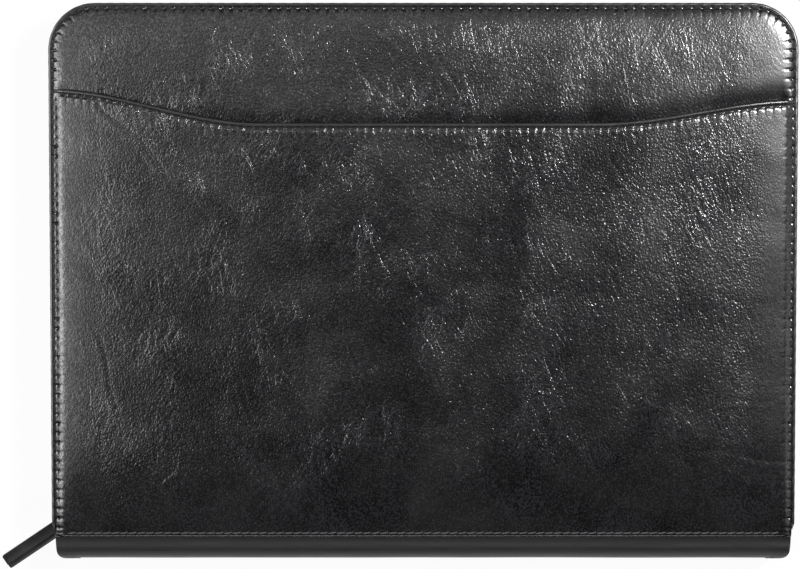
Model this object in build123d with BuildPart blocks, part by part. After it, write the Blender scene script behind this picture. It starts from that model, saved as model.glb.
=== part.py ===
from build123d import *
import os

# Zippered padfolio, closed but unzipped, lying on its back cover.
# X runs along the spine, Y from the spine to the fore edge and Z up from the resting face.
# The origin is the middle of the back cover's resting face. All sizes are millimetres.

# Covers, which are sized round a letter pad: the layers and the edge
fore_corner_radius = 21.5
spine_corner_radius = 3.0
skin_thickness = 1.0
foam_thickness = 1.5
board_thickness = 2.0
board_margin = 4.0
lining_thickness = 0.5
cavity_height = 15.4
piping_width = 1.5
piping_height = 3.0
piping_rounding = 0.6

# Patch pocket on the front cover, whose mouth rises in a slow curve at both ends
pocket_panel_thickness = 1.0
mouth_depth = 54.9
mouth_left_rise = 15.5
mouth_right_rise = 10.5
mouth_left_run = 97.0
mouth_right_run = 92.0
hem_width = 3.0
hem_thickness = 0.5

# Spine strip, bent outward between the two hinge lines
spine_end_setback = 2.5
spine_bulge = 10.9
spine_end_hem_length = 6.5
hinge_clearance = 0.4

# Zip: tapes on a fabric strip, rows of teeth, end stops
zip_inset = 10.8
gusset_thickness = 0.6
tape_thickness = 0.8
row_thickness = 2.4
row_height = 2.2
row_gap = 1.8
zip_start = 4.2
stop_length = 1.4

# Slider and its bail
slider_park = 7.0
slider_length = 9.0
slider_wall = 0.8
slider_clearance = 0.4
slider_rounding = 1.6
post_length = 3.6
post_height = 1.0
bail_bar = 1.2
bail_height = 1.2
bail_foot = 0.8
bail_window_length = 3.6

# Pull
pull_angle = 34.0
ring_wire = 1.0
ring_clearance = 0.3
strap_reach = 31.0
strap_width = 7.0
strap_thickness = 2.6
strap_root_clearance = 1.6
strap_root_wall = 0.7
strap_taper = 2.6
strap_rounding = 0.8
eyelet_bore = 2.4
eyelet_wall = 0.5
eyelet_flange_width = 0.5
eyelet_flange_thickness = 0.3

# Writing pad and its sleeve
pad_length = 279.4
pad_width = 215.9
pad_backing_thickness = 0.8
pad_sheets_thickness = 4.5
binding_thickness = 0.3
binding_width = 12.0
sleeve_thickness = 0.5
sleeve_rim = 1.6
sleeve_setback = 28.0
sleeve_clearance = 0.4
pad_end_clearance = 19.8
pad_fore_clearance = 2.3

# Pen loop beside the spine
pen_loop_margin = 0.9
pen_loop_width = 10.0
pen_loop_height = 9.0
pen_loop_wall = 1.0
pen_loop_length = 25.0
pen_loop_rounding = 2.5
pen_loop_x = -40.0

# Pockets on the inside of the front cover
document_mouth_margin = 92.5
document_end_margin = 8.5
document_spine_margin = 12.75
document_fore_margin = 6.75
document_panel_thickness = 0.8
document_gusset_width = 8.0
document_gusset_thickness = 1.0
card_pocket_length = 92.0
card_pocket_width = 96.0
card_pocket_step = 13.0
card_pocket_thickness = 0.7
card_pocket_foot_margin = 31.0
card_pocket_side_margin = 6.0
window_gap = 4.0
window_side_margin = 4.0
window_length = 72.0
window_thickness = 0.4
window_border = 7.0
window_frame_thickness = 0.7

# Outline of the covers, from the pad, what lies beside it and the zip
zip_width = zip_inset + row_thickness / 2
sleeve_frame = sleeve_clearance + sleeve_rim
pen_loop_room = pen_loop_margin + pen_loop_width + sleeve_clearance
cover_length = pad_length + 2 * (zip_width + pad_end_clearance)
spine_length = cover_length - 2 * spine_end_setback
cover_width = pen_loop_room + pad_width + 2 * sleeve_frame + pad_fore_clearance + zip_width

# Levels of the layers
back_board_level = skin_thickness + foam_thickness
back_lining_level = back_board_level + board_thickness
cavity_floor = back_lining_level + lining_thickness
cavity_roof = cavity_floor + cavity_height
front_board_level = cavity_roof + lining_thickness
front_foam_level = front_board_level + board_thickness
front_skin_level = front_foam_level + foam_thickness
front_top = front_skin_level + skin_thickness
case_top = front_top + pocket_panel_thickness
panel_thickness = cavity_floor

# Hinge lines along the two spine seams
hinge_y = -cover_width / 2
hinge_low = skin_thickness
hinge_high = case_top - skin_thickness
hinge_middle = (hinge_low + hinge_high) / 2

# Places of the zip
zip_level = (cavity_floor + cavity_roof) / 2
back_row_level = zip_level - row_gap / 2 - row_height
front_row_level = zip_level + row_gap / 2
front_tape_level = front_row_level + row_height
row_x = cover_length / 2 - zip_inset
row_start = hinge_y + zip_start
tape_start = row_start - stop_length

# Places of the slider and the pull
slider_y = hinge_y + slider_park
channel_width = row_thickness + 2 * slider_clearance
slider_width = channel_width + 2 * slider_wall
slider_bottom = back_row_level - slider_clearance - slider_wall
slider_top = front_tape_level + slider_clearance
bail_window = ring_wire + 2 * ring_clearance
bail_x = -row_x - slider_width / 2
swing_x = bail_x - bail_window / 2
eyelet_radius = eyelet_bore / 2 + eyelet_wall
strap_root_radius = eyelet_radius + strap_root_wall
eyelet_x = bail_window / 2 + bail_bar + strap_root_clearance + strap_root_radius
ring_radius = eyelet_x / 2
pull_direction = Vector(-1, 0, 0).rotate(Axis.Z, pull_angle)
pull_plane = Plane(origin=(swing_x, slider_y, zip_level), x_dir=pull_direction, z_dir=(0, 0, 1))
ring_plane = Plane(
    origin=pull_plane.from_local_coords((ring_radius, 0, 0)),
    x_dir=pull_direction,
    z_dir=pull_plane.y_dir,
)

# Places of the pad, which lies beside the pen loop
pen_loop_y = hinge_y + pen_loop_margin + pen_loop_width / 2
pad_y = hinge_y + pen_loop_room + sleeve_frame + pad_width / 2
pad_left = -pad_length / 2
sleeve_level = cavity_floor + pad_backing_thickness
sheets_level = sleeve_level + sleeve_thickness
sheets_top = sheets_level + pad_sheets_thickness
slot_x = pad_left + sleeve_setback

# Places of the inner pockets, which hang below the front lining
document_panel_level = cavity_roof - document_gusset_thickness - document_panel_thickness
document_left = -cover_length / 2 + zip_width + document_mouth_margin
document_right = cover_length / 2 - zip_width - document_end_margin
document_bottom = hinge_y + document_spine_margin
document_top = cover_width / 2 - zip_width - document_fore_margin
document_length = document_right - document_left
document_width = document_top - document_bottom
document_middle = ((document_left + document_right) / 2, (document_bottom + document_top) / 2)
card_pocket_foot = document_right - card_pocket_foot_margin
card_pocket_y = document_bottom + card_pocket_side_margin + card_pocket_width / 2
window_width = document_width - card_pocket_side_margin - card_pocket_width - window_gap - window_side_margin
window_middle = (card_pocket_foot - window_length / 2, document_top - window_side_margin - window_width / 2)
window_level = document_panel_level - window_thickness


def cover_outline(inset):
    """Cover outline set in from the three zipped edges. The spine edge stays on the hinge line."""
    with BuildSketch() as outline:
        with Locations((0, hinge_y)):
            Rectangle(cover_length - 2 * inset, cover_width - inset, align=(Align.CENTER, Align.MIN))
        fillet(outline.vertices().group_by(Axis.Y)[-1], fore_corner_radius - inset)
        fillet(outline.vertices().group_by(Axis.Y)[0], spine_corner_radius)
    return outline.sketch


def edge_band(inset, width, start):
    """U-shaped band along the three zipped edges, beginning on the line y = start."""
    with BuildSketch() as band:
        add(cover_outline(inset))
        add(cover_outline(inset + width), mode=Mode.SUBTRACT)
        with Locations((0, start)):
            Rectangle(cover_length, cover_width, align=(Align.CENTER, Align.MAX), mode=Mode.SUBTRACT)
    return band.sketch


def pocket_outline(drop):
    """Patch pocket from the spine edge up to its mouth line, which is lowered by drop."""
    left = -cover_length / 2
    right = cover_length / 2
    middle_y = cover_width / 2 - mouth_depth - drop
    left_end = (left, middle_y + mouth_left_rise)
    left_foot = (left + mouth_left_run, middle_y)
    right_foot = (right - mouth_right_run, middle_y)
    right_end = (right, middle_y + mouth_right_rise)
    with BuildSketch() as outline:
        with BuildLine():
            Spline(left_end, left_foot, tangents=((1, 0), (1, 0)))
            Line(left_foot, right_foot)
            Spline(right_foot, right_end, tangents=((1, 0), (1, 0)))
            Polyline(right_end, (right, hinge_y), (left, hinge_y), left_end)
        make_face()
        add(cover_outline(piping_width), mode=Mode.INTERSECT)
    return outline.sketch


def spine_section(depth_in, thickness):
    """Section of one bent layer of the spine strip, depth_in below its outer face."""
    chord = hinge_high - hinge_low - 2 * hinge_clearance
    depth = spine_bulge - hinge_clearance
    outer_radius = (chord**2 / 4 + depth**2) / (2 * depth)
    with BuildSketch() as section:
        with Locations((hinge_y - spine_bulge + outer_radius, hinge_middle)):
            Circle(outer_radius - depth_in)
            Circle(outer_radius - depth_in - thickness, mode=Mode.SUBTRACT)
        with Locations((hinge_y - hinge_clearance, hinge_middle)):
            Rectangle(
                2 * outer_radius,
                2 * outer_radius,
                align=(Align.MAX, Align.CENTER),
                mode=Mode.INTERSECT,
            )
    return section.sketch


# Back cover
with BuildPart() as back_skin:
    with BuildSketch():
        add(cover_outline(piping_width))
    extrude(amount=skin_thickness)

with BuildPart() as back_foam:
    with BuildSketch(Plane.XY.offset(skin_thickness)):
        add(cover_outline(piping_width))
    extrude(amount=foam_thickness + board_thickness)
    with BuildSketch(Plane.XY.offset(back_board_level)):
        add(cover_outline(piping_width + board_margin))
    extrude(amount=board_thickness, mode=Mode.SUBTRACT)

with BuildPart() as back_board:
    with BuildSketch(Plane.XY.offset(back_board_level)):
        add(cover_outline(piping_width + board_margin))
    extrude(amount=board_thickness)

with BuildPart() as back_lining:
    with BuildSketch(Plane.XY.offset(back_lining_level)):
        add(cover_outline(piping_width))
    extrude(amount=lining_thickness)

with BuildPart() as back_edge_piping:
    with BuildSketch(Plane.XY.offset((panel_thickness - piping_height) / 2)):
        add(edge_band(0, piping_width, hinge_y + spine_corner_radius))
    extrude(amount=piping_height)
    rims = back_edge_piping.faces().filter_by(Axis.Z).sort_by(Axis.Z)
    fillet(rims[0].edges().sort_by(SortBy.LENGTH)[-1], piping_rounding)

with BuildPart() as back_zip_gusset:
    with BuildSketch(Plane.XY.offset(cavity_floor)):
        add(edge_band(piping_width, zip_inset - tape_thickness / 2 - piping_width, tape_start))
    extrude(amount=gusset_thickness)

with BuildPart() as zip_tape_back:
    with BuildSketch(Plane.XY.offset(cavity_floor)):
        add(edge_band(zip_inset - tape_thickness / 2, tape_thickness, tape_start))
    extrude(amount=back_row_level - cavity_floor)

with BuildPart() as zip_chain_back:
    with BuildSketch(Plane.XY.offset(back_row_level)):
        add(edge_band(zip_inset - row_thickness / 2, row_thickness, row_start))
    extrude(amount=row_height)

with BuildPart() as zip_stops_back:
    with BuildSketch(Plane.XY.offset(back_row_level)):
        with Locations((-row_x, row_start), (row_x, row_start)):
            Rectangle(row_thickness, stop_length, align=(Align.CENTER, Align.MAX))
    extrude(amount=row_height)

# Writing pad, held by its backing board in the sleeve
with BuildPart() as pad_sleeve:
    with BuildSketch(Plane.XY.offset(cavity_floor)):
        with Locations((slot_x, pad_y)):
            Rectangle(
                pad_length - sleeve_setback + sleeve_frame,
                pad_width + 2 * sleeve_frame,
                align=(Align.MIN, Align.CENTER),
            )
    extrude(amount=pad_backing_thickness + sleeve_thickness)
    with BuildSketch(Plane.XY.offset(cavity_floor)):
        with Locations((slot_x, pad_y)):
            Rectangle(
                pad_length - sleeve_setback + sleeve_clearance,
                pad_width + 2 * sleeve_clearance,
                align=(Align.MIN, Align.CENTER),
            )
    extrude(amount=pad_backing_thickness, mode=Mode.SUBTRACT)

with BuildPart() as pad_backing_board:
    with BuildSketch(Plane.XY.offset(cavity_floor)):
        with Locations((0, pad_y)):
            Rectangle(pad_length, pad_width)
    extrude(amount=pad_backing_thickness)

with BuildPart() as pad_sheets:
    with BuildSketch(Plane.XY.offset(sheets_level)):
        with Locations((0, pad_y)):
            Rectangle(pad_length, pad_width)
    extrude(amount=pad_sheets_thickness)
    with BuildSketch(Plane.XY.offset(sleeve_level)):
        with Locations((pad_left, pad_y)):
            Rectangle(
                sleeve_setback - sleeve_clearance,
                pad_width,
                align=(Align.MIN, Align.CENTER),
            )
    extrude(amount=sleeve_thickness)

with BuildPart() as pad_binding_strip:
    with BuildSketch(Plane.XY.offset(cavity_floor)):
        with Locations((pad_left, pad_y)):
            Rectangle(binding_thickness, pad_width, align=(Align.MAX, Align.CENTER))
    extrude(amount=sheets_top - cavity_floor)
    with BuildSketch(Plane.XY.offset(sheets_top)):
        with Locations((pad_left - binding_thickness, pad_y)):
            Rectangle(binding_width, pad_width, align=(Align.MIN, Align.CENTER))
    extrude(amount=binding_thickness)

with BuildPart() as pen_loop:
    with BuildSketch(Plane.YZ.offset(pen_loop_x)) as loop_section:
        with Locations((pen_loop_y, cavity_floor)):
            Rectangle(pen_loop_width, pen_loop_height, align=(Align.CENTER, Align.MIN))
        fillet(loop_section.vertices().group_by(Axis.Y)[-1], pen_loop_rounding)
        offset(amount=-pen_loop_wall, mode=Mode.SUBTRACT)
    extrude(amount=pen_loop_length / 2, both=True)

# Front cover
with BuildPart() as front_lining:
    with BuildSketch(Plane.XY.offset(cavity_roof)):
        add(cover_outline(piping_width))
    extrude(amount=lining_thickness)

with BuildPart() as front_board:
    with BuildSketch(Plane.XY.offset(front_board_level)):
        add(cover_outline(piping_width + board_margin))
    extrude(amount=board_thickness)

with BuildPart() as front_foam:
    with BuildSketch(Plane.XY.offset(front_board_level)):
        add(cover_outline(piping_width))
    extrude(amount=board_thickness + foam_thickness)
    with BuildSketch(Plane.XY.offset(front_board_level)):
        add(cover_outline(piping_width + board_margin))
    extrude(amount=board_thickness, mode=Mode.SUBTRACT)

with BuildPart() as front_skin:
    with BuildSketch(Plane.XY.offset(front_skin_level)):
        add(cover_outline(piping_width))
    extrude(amount=skin_thickness)

with BuildPart() as front_edge_piping:
    with BuildSketch(Plane.XY.offset(cavity_roof + (panel_thickness - piping_height) / 2)):
        add(edge_band(0, piping_width, hinge_y + spine_corner_radius))
    extrude(amount=piping_height)
    rims = front_edge_piping.faces().filter_by(Axis.Z).sort_by(Axis.Z)
    fillet(rims[-1].edges().sort_by(SortBy.LENGTH)[-1], piping_rounding)

with BuildPart() as front_pocket_panel:
    with BuildSketch(Plane.XY.offset(front_top)):
        add(pocket_outline(0))
    extrude(amount=pocket_panel_thickness)

with BuildPart() as pocket_mouth_hem:
    with BuildSketch(Plane.XY.offset(case_top)):
        add(pocket_outline(0))
        add(pocket_outline(hem_width), mode=Mode.SUBTRACT)
    extrude(amount=hem_thickness)

with BuildPart() as front_zip_gusset:
    with BuildSketch(Plane.XY.offset(cavity_roof - gusset_thickness)):
        add(edge_band(piping_width, zip_inset - tape_thickness / 2 - piping_width, tape_start))
    extrude(amount=gusset_thickness)

with BuildPart() as zip_tape_front:
    with BuildSketch(Plane.XY.offset(front_tape_level)):
        add(edge_band(zip_inset - tape_thickness / 2, tape_thickness, tape_start))
    extrude(amount=cavity_roof - front_tape_level)

with BuildPart() as zip_chain_front:
    with BuildSketch(Plane.XY.offset(front_row_level)):
        add(edge_band(zip_inset - row_thickness / 2, row_thickness, row_start))
    extrude(amount=row_height)

with BuildPart() as zip_stops_front:
    with BuildSketch(Plane.XY.offset(front_row_level)):
        with Locations((-row_x, row_start), (row_x, row_start)):
            Rectangle(row_thickness, stop_length, align=(Align.CENTER, Align.MAX))
    extrude(amount=row_height)

# Pockets on the inside of the front cover, layer under layer
with BuildPart() as document_pocket_gusset:
    with BuildSketch(Plane.XY.offset(cavity_roof - document_gusset_thickness)):
        with Locations(document_middle):
            Rectangle(document_length, document_width)
        with Locations((document_right - document_gusset_width, document_middle[1])):
            Rectangle(
                document_length,
                document_width - 2 * document_gusset_width,
                align=(Align.MAX, Align.CENTER),
                mode=Mode.SUBTRACT,
            )
    extrude(amount=document_gusset_thickness)

with BuildPart() as document_pocket_panel:
    with BuildSketch(Plane.XY.offset(document_panel_level)):
        with Locations(document_middle):
            Rectangle(document_length, document_width)
    extrude(amount=document_panel_thickness)

card_pockets = {}
for step, place in enumerate(("upper", "middle", "lower")):
    with BuildPart() as card_pocket:
        with BuildSketch(Plane.XY.offset(document_panel_level - (step + 1) * card_pocket_thickness)):
            with Locations((card_pocket_foot, card_pocket_y)):
                Rectangle(
                    card_pocket_length - step * card_pocket_step,
                    card_pocket_width,
                    align=(Align.MAX, Align.CENTER),
                )
        extrude(amount=card_pocket_thickness)
    card_pockets["card_pocket_" + place] = card_pocket

with BuildPart() as id_window:
    with BuildSketch(Plane.XY.offset(window_level)):
        with Locations(window_middle):
            Rectangle(window_length, window_width)
    extrude(amount=window_thickness)

with BuildPart() as id_window_frame:
    with BuildSketch(Plane.XY.offset(window_level - window_frame_thickness)):
        with Locations(window_middle):
            Rectangle(window_length, window_width)
            Rectangle(
                window_length - 2 * window_border,
                window_width - 2 * window_border,
                mode=Mode.SUBTRACT,
            )
    extrude(amount=window_frame_thickness)

# Spine strip
with BuildPart() as spine_skin:
    with BuildSketch(Plane.YZ):
        add(spine_section(0, skin_thickness))
    extrude(amount=spine_length / 2, both=True)

with BuildPart() as spine_lining:
    with BuildSketch(Plane.YZ):
        add(spine_section(skin_thickness, lining_thickness))
    extrude(amount=spine_length / 2 - spine_end_hem_length, both=True)

with BuildPart() as spine_end_hems:
    with BuildSketch(Plane.YZ.offset(spine_length / 2 - spine_end_hem_length)):
        add(spine_section(skin_thickness, lining_thickness))
    extrude(amount=spine_end_hem_length)
    mirror(about=Plane.YZ)

# Slider, a channel round both rows that hooks under the back row and leaves the front row free to lift
with BuildPart() as slider_body:
    with BuildSketch(Plane.XZ.offset(-slider_y)):
        with Locations((-row_x, slider_bottom)):
            Rectangle(slider_width, slider_top - slider_bottom, align=(Align.CENTER, Align.MIN))
        with Locations((-row_x, slider_bottom + slider_wall)):
            Rectangle(
                channel_width,
                slider_top - slider_bottom,
                align=(Align.CENTER, Align.MIN),
                mode=Mode.SUBTRACT,
            )
        with Locations((-row_x, slider_bottom)):
            Rectangle(tape_thickness + 2 * slider_clearance, 2 * slider_wall, mode=Mode.SUBTRACT)
    extrude(amount=slider_length / 2, both=True)
    fillet(slider_body.edges().filter_by(Axis.X).group_by(Axis.Z)[-1], slider_rounding)
    with Locations((-row_x, slider_y, zip_level)):
        Box(channel_width, post_length, post_height)

with BuildPart() as slider_crown:
    with BuildSketch(Plane.XY.offset(zip_level)):
        with Locations((bail_x, slider_y)):
            Rectangle(
                bail_window + bail_bar,
                bail_window_length + 2 * bail_foot,
                align=(Align.MAX, Align.CENTER),
            )
            Rectangle(
                bail_window,
                bail_window_length,
                align=(Align.MAX, Align.CENTER),
                mode=Mode.SUBTRACT,
            )
    extrude(amount=bail_height / 2, both=True)

# Pull, a strap on a ring that passes through the bail and the strap's eyelet
with BuildPart(ring_plane) as pull_ring:
    Torus(ring_radius, ring_wire / 2)

with BuildPart() as pull_strap:
    with BuildSketch(pull_plane.offset(-strap_thickness / 2)) as strap_outline:
        with BuildLine():
            Polyline(
                (eyelet_x, strap_root_radius),
                (eyelet_x + strap_taper, strap_width / 2),
                (eyelet_x + strap_reach, strap_width / 2),
                (eyelet_x + strap_reach, -strap_width / 2),
                (eyelet_x + strap_taper, -strap_width / 2),
                (eyelet_x, -strap_root_radius),
                close=True,
            )
        make_face()
        fillet(strap_outline.vertices().group_by(Axis.X)[-1], strap_rounding)
        with Locations((eyelet_x, 0)):
            Circle(strap_root_radius)
            Circle(eyelet_radius, mode=Mode.SUBTRACT)
    extrude(amount=strap_thickness)

with BuildPart() as pull_eyelet:
    with BuildSketch(pull_plane.offset(-strap_thickness / 2)):
        with Locations((eyelet_x, 0)):
            Circle(eyelet_radius)
    extrude(amount=strap_thickness)
    for flange_level in (-strap_thickness / 2 - eyelet_flange_thickness, strap_thickness / 2):
        with BuildSketch(pull_plane.offset(flange_level)):
            with Locations((eyelet_x, 0)):
                Circle(eyelet_radius + eyelet_flange_width)
        extrude(amount=eyelet_flange_thickness)
    with BuildSketch(pull_plane):
        with Locations((eyelet_x, 0)):
            Circle(eyelet_bore / 2)
    extrude(amount=strap_thickness, both=True, mode=Mode.SUBTRACT)

pieces = {
    "back_skin": back_skin,
    "back_foam": back_foam,
    "back_board": back_board,
    "back_lining": back_lining,
    "back_edge_piping": back_edge_piping,
    "back_zip_gusset": back_zip_gusset,
    "zip_tape_back": zip_tape_back,
    "zip_chain_back": zip_chain_back,
    "zip_stops_back": zip_stops_back,
    "pad_sleeve": pad_sleeve,
    "pad_backing_board": pad_backing_board,
    "pad_sheets": pad_sheets,
    "pad_binding_strip": pad_binding_strip,
    "pen_loop": pen_loop,
    "front_lining": front_lining,
    "front_board": front_board,
    "front_foam": front_foam,
    "front_skin": front_skin,
    "front_edge_piping": front_edge_piping,
    "front_pocket_panel": front_pocket_panel,
    "pocket_mouth_hem": pocket_mouth_hem,
    "front_zip_gusset": front_zip_gusset,
    "zip_tape_front": zip_tape_front,
    "zip_chain_front": zip_chain_front,
    "zip_stops_front": zip_stops_front,
    "document_pocket_gusset": document_pocket_gusset,
    "document_pocket_panel": document_pocket_panel,
    **card_pockets,
    "id_window": id_window,
    "id_window_frame": id_window_frame,
    "spine_skin": spine_skin,
    "spine_lining": spine_lining,
    "spine_end_hems": spine_end_hems,
    "slider_body": slider_body,
    "slider_crown": slider_crown,
    "pull_ring": pull_ring,
    "pull_strap": pull_strap,
    "pull_eyelet": pull_eyelet,
}

os.makedirs("parts", exist_ok=True)
for label, piece in pieces.items():
    piece.part.label = label
    export_step(piece.part, f"parts/{label}.step")
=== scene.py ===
"""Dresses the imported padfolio: leather covers, seams, zip and pull, and what is inside."""

from math import asin, atan2, ceil, cos, exp, hypot, pi, radians, sin, sqrt

import bmesh
import bpy
from bpy.props import FloatProperty, FloatVectorProperty, PointerProperty
from mathutils import Matrix, Vector, noise


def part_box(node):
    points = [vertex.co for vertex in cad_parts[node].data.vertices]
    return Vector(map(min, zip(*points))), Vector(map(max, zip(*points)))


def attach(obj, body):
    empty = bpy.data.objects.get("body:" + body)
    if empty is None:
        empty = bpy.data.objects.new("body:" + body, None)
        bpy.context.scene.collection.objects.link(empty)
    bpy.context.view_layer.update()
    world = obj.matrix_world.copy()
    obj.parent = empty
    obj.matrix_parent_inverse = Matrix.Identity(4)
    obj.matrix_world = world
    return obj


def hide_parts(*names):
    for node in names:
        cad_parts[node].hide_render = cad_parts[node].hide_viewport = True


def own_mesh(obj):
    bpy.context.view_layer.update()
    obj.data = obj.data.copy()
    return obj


bl_info = {
    "name": "Zippered padfolio",
    "version": (1, 0, 0),
    "blender": (4, 5, 0),
    "location": "View3D > Sidebar > Padfolio",
    "description": "Builds the leather, seams, zip and inside of a zippered padfolio over its CAD frame",
    "category": "Add Mesh",
}

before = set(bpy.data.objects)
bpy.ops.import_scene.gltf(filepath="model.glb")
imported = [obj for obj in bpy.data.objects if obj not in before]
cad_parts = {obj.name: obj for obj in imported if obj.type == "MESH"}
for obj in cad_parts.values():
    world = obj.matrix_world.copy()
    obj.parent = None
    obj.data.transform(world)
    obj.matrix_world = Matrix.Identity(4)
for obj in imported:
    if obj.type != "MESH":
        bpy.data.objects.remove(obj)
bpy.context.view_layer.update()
MM = 0.001

# Places read from the frame
SKIN_LOW, SKIN_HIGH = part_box("front_skin")
BACK_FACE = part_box("back_skin")[0].z
HALF_LENGTH, FORE_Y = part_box("front_edge_piping")[1].xy
SLIDER_LOW, SLIDER_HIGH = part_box("slider_body")
STRIP_LOW, STRIP_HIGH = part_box("spine_skin")
SPINE_Y = SKIN_LOW.y
FRONT_FACE = SKIN_HIGH.z
PIPING_WIDTH = HALF_LENGTH - SKIN_HIGH.x
ZIP_INSET = HALF_LENGTH - (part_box("zip_tape_back")[1].x - 0.4 * MM)
SLIDER_Y = (SLIDER_LOW.y + SLIDER_HIGH.y) / 2
STRIP_MIDDLE = (STRIP_LOW.z + STRIP_HIGH.z) / 2
STRIP_RISE = (STRIP_HIGH.z - STRIP_LOW.z) / 2
STRIP_DEPTH = STRIP_HIGH.y - STRIP_LOW.y
STRIP_RADIUS = (STRIP_RISE**2 + STRIP_DEPTH**2) / (2 * STRIP_DEPTH)
STRIP_REACH = asin(STRIP_RISE / STRIP_RADIUS)

# Sizes that the frame's boxes don't give
CORNER = 21.5 * MM
SEAM_INSET = 2.5 * MM
FINE_EDGE = 9 * MM
PIPING_RADIUS = 0.98 * MM
LEFT_RISE = 15.5 * MM
LEFT_RUN = 97 * MM
RIGHT_RISE = 10.5 * MM
RIGHT_RUN = 92 * MM
HEM_WIDTH = 3 * MM
HEM_STITCH = 2.3 * MM
MOUTH_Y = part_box("pocket_mouth_hem")[0].y + HEM_WIDTH
SPINE_THREAD = 2.2 * MM
SPINE_FULLNESS = 1.12
ZIP_STRIP = 8.6 * MM
FINE_THREAD = 0.45 * MM
DOWN = (0, 0, -1)

# Columns and rows of the larger meshes, and the frames that the padding's cloth is blown up for
FRONT_MESH = (234, 168)
BACK_MESH = (190, 136)
POCKET_MESH = (192, 106)
HEM_COLUMNS = 560
PIPING_MESH = (520, 16)
CLOTH_COLUMNS = 86
CLOTH_ROWS = 62
CLOTH_FRAMES = 20

# Picture and surroundings
PICTURE_MIDDLE = (-10.7 * MM, -5.95 * MM, FRONT_FACE)
FILM_WIDTH = 36
WORLD_LIGHT = 0.02
FLOOR_GAP = 0.2 * MM

# Section of the pocket's hem, in millimetres: how far below the mouth and how far above the leather
HEM_SECTION = [
    (0.0, -0.3),
    (0.02, 0.1),
    (0.1, 0.3),
    (0.3, 0.41),
    (0.62, 0.5),
    (0.95, 0.55),
    (1.2, 0.5),
    (1.45, 0.24),
    (1.7, 0.0),
    (2.4, -0.14),
    (1.8, -0.32),
    (0.9, -0.32),
]

# Long creases in the front leather: start, end and depth, in millimetres
CREASES = [
    ((-146, 76), (-117, 45), 0.2),
    ((-128, 52), (-104, 30), 0.10),
    ((3, 110), (13, 83), 0.07),
    ((-36, 101), (-15, 78), 0.07),
    ((-20, 112), (-4, 92), 0.05),
    ((126, -83), (163, -86), 0.06),
    ((132, -62), (160, -58), 0.04),
    ((84, 52), (104, 30), 0.05),
    ((-150, -30), (-138, -66), 0.10),
    ((40, 14), (58, -18), 0.04),
    ((-86, -48), (-70, -80), 0.08),
]


def a_length(name, default, description):
    """A length that a user may change."""
    return FloatProperty(name=name, description=description, default=default, unit="LENGTH")


def a_colour(name, default, description):
    """A colour that a user may change."""
    return FloatVectorProperty(name=name, description=description, default=default, subtype="COLOR")


def a_power(name, default, description):
    """A lamp's power that a user may change."""
    return FloatProperty(name=name, description=description, default=default, subtype="POWER")


class PadfolioSizes(bpy.types.PropertyGroup):
    """Sizes of the soft pieces that a user would change."""

    crown: a_length("Cover crown", 2.4 * MM, "How far the padding lifts the middle of the front cover")
    blown: a_length("Blown height", 10 * MM, "Height of the blown-up cloth before the foam flattens it")
    roll: a_length("Padded roll", 3.6 * MM, "Width of the padded roll inside the edge seam")
    relief: a_length("Leather relief", 0.16 * MM, "Height of the slow waves in the padded leather")
    edge_pitch: a_length("Edge stitch", 4.4 * MM, "Length from stitch to stitch along the zipped edges")
    hem_pitch: a_length("Hem stitch", 3.7 * MM, "Length from stitch to stitch under the pocket's hem")
    spine_pitch: a_length("Spine stitch", 4.0 * MM, "Length from stitch to stitch along the spine's seams")
    thread: a_length("Thread", 0.62 * MM, "Thickness of the sewing thread")
    tooth_pitch: a_length("Tooth pitch", 3.0 * MM, "Length from tooth to tooth in one row of the zip")


class PadfolioColours(bpy.types.PropertyGroup):
    """Colours of the padfolio's finishes."""

    leather: a_colour("Leather", (0.0034, 0.0034, 0.004), "Colour of the grained cover leather")
    trim: a_colour("Trim leather", (0.026, 0.026, 0.028), "Colour of the duller leather of spine and inside")
    thread: a_colour("Dark thread", (0.02, 0.02, 0.022), "Colour of the thread round the zipped edges")
    seam_thread: a_colour("Seam thread", (0.095, 0.095, 0.098), "Colour of the thread along the spine")
    lining: a_colour("Lining", (0.022, 0.022, 0.025), "Colour of the woven lining")
    paper: a_colour("Paper", (0.86, 0.84, 0.77), "Colour of the writing pad's sheets")
    enamel: a_colour("Enamel", (0.02, 0.02, 0.022), "Colour of the slider's enamelled metal")


class PadfolioStage(bpy.types.PropertyGroup):
    """Camera and light of the stage."""

    camera_height: a_length("Camera height", 1.0, "Length from the camera to the front cover")
    camera_tilt: FloatProperty(
        name="Camera tilt",
        description="How far the camera leans from straight above towards the fore edge",
        default=radians(2.8),
        subtype="ANGLE",
    )
    frame_width: a_length("Picture width", 0.3669, "Width of what the picture takes in at the front cover")
    key_power: a_power("Key light", 10.0, "Power of the lamp above the right of the fore edge")
    side_power: a_power("Side light", 4.4, "Power of the strip beside the left end")
    top_power: a_power("Top light", 0.7, "Power of the panel above the fore edge")
    panel_power: a_power("End panels", 0.6, "Power that the weak lamps above the two ends share")
    fill_power: a_power("Spine fill", 4.4, "Power of the low panel that the spine mirrors")


def clamp(value, low=0.0, high=1.0):
    """The value held between two limits."""
    return max(low, min(high, value))


def smooth(value):
    """An S-curve from 0 to 1."""
    share = clamp(value)
    return share * share * (3 - 2 * share)


def crowd_ends(share):
    """A share from 0 to 1 that steps closer together at both ends."""
    return 0.5 - 0.5 * cos(pi * clamp(share))


def bell(value, width):
    """A soft bump, 1 at zero, that fades over the width."""
    return exp(-((value / width) ** 2))


def ridge(distance, height, place, width):
    """A soft ridge across a distance, its height, place and width in millimetres."""
    return height * MM * bell(distance - place * MM, width * MM)


def boxed(value, power=0.55):
    """A sine or cosine pushed outwards, which makes a rounded box of a circle."""
    return (1 if value > 0 else -1) * abs(value) ** power


def at_level(point, level):
    """A point brought to a level."""
    return Vector((point.x, point.y, level))


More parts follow.
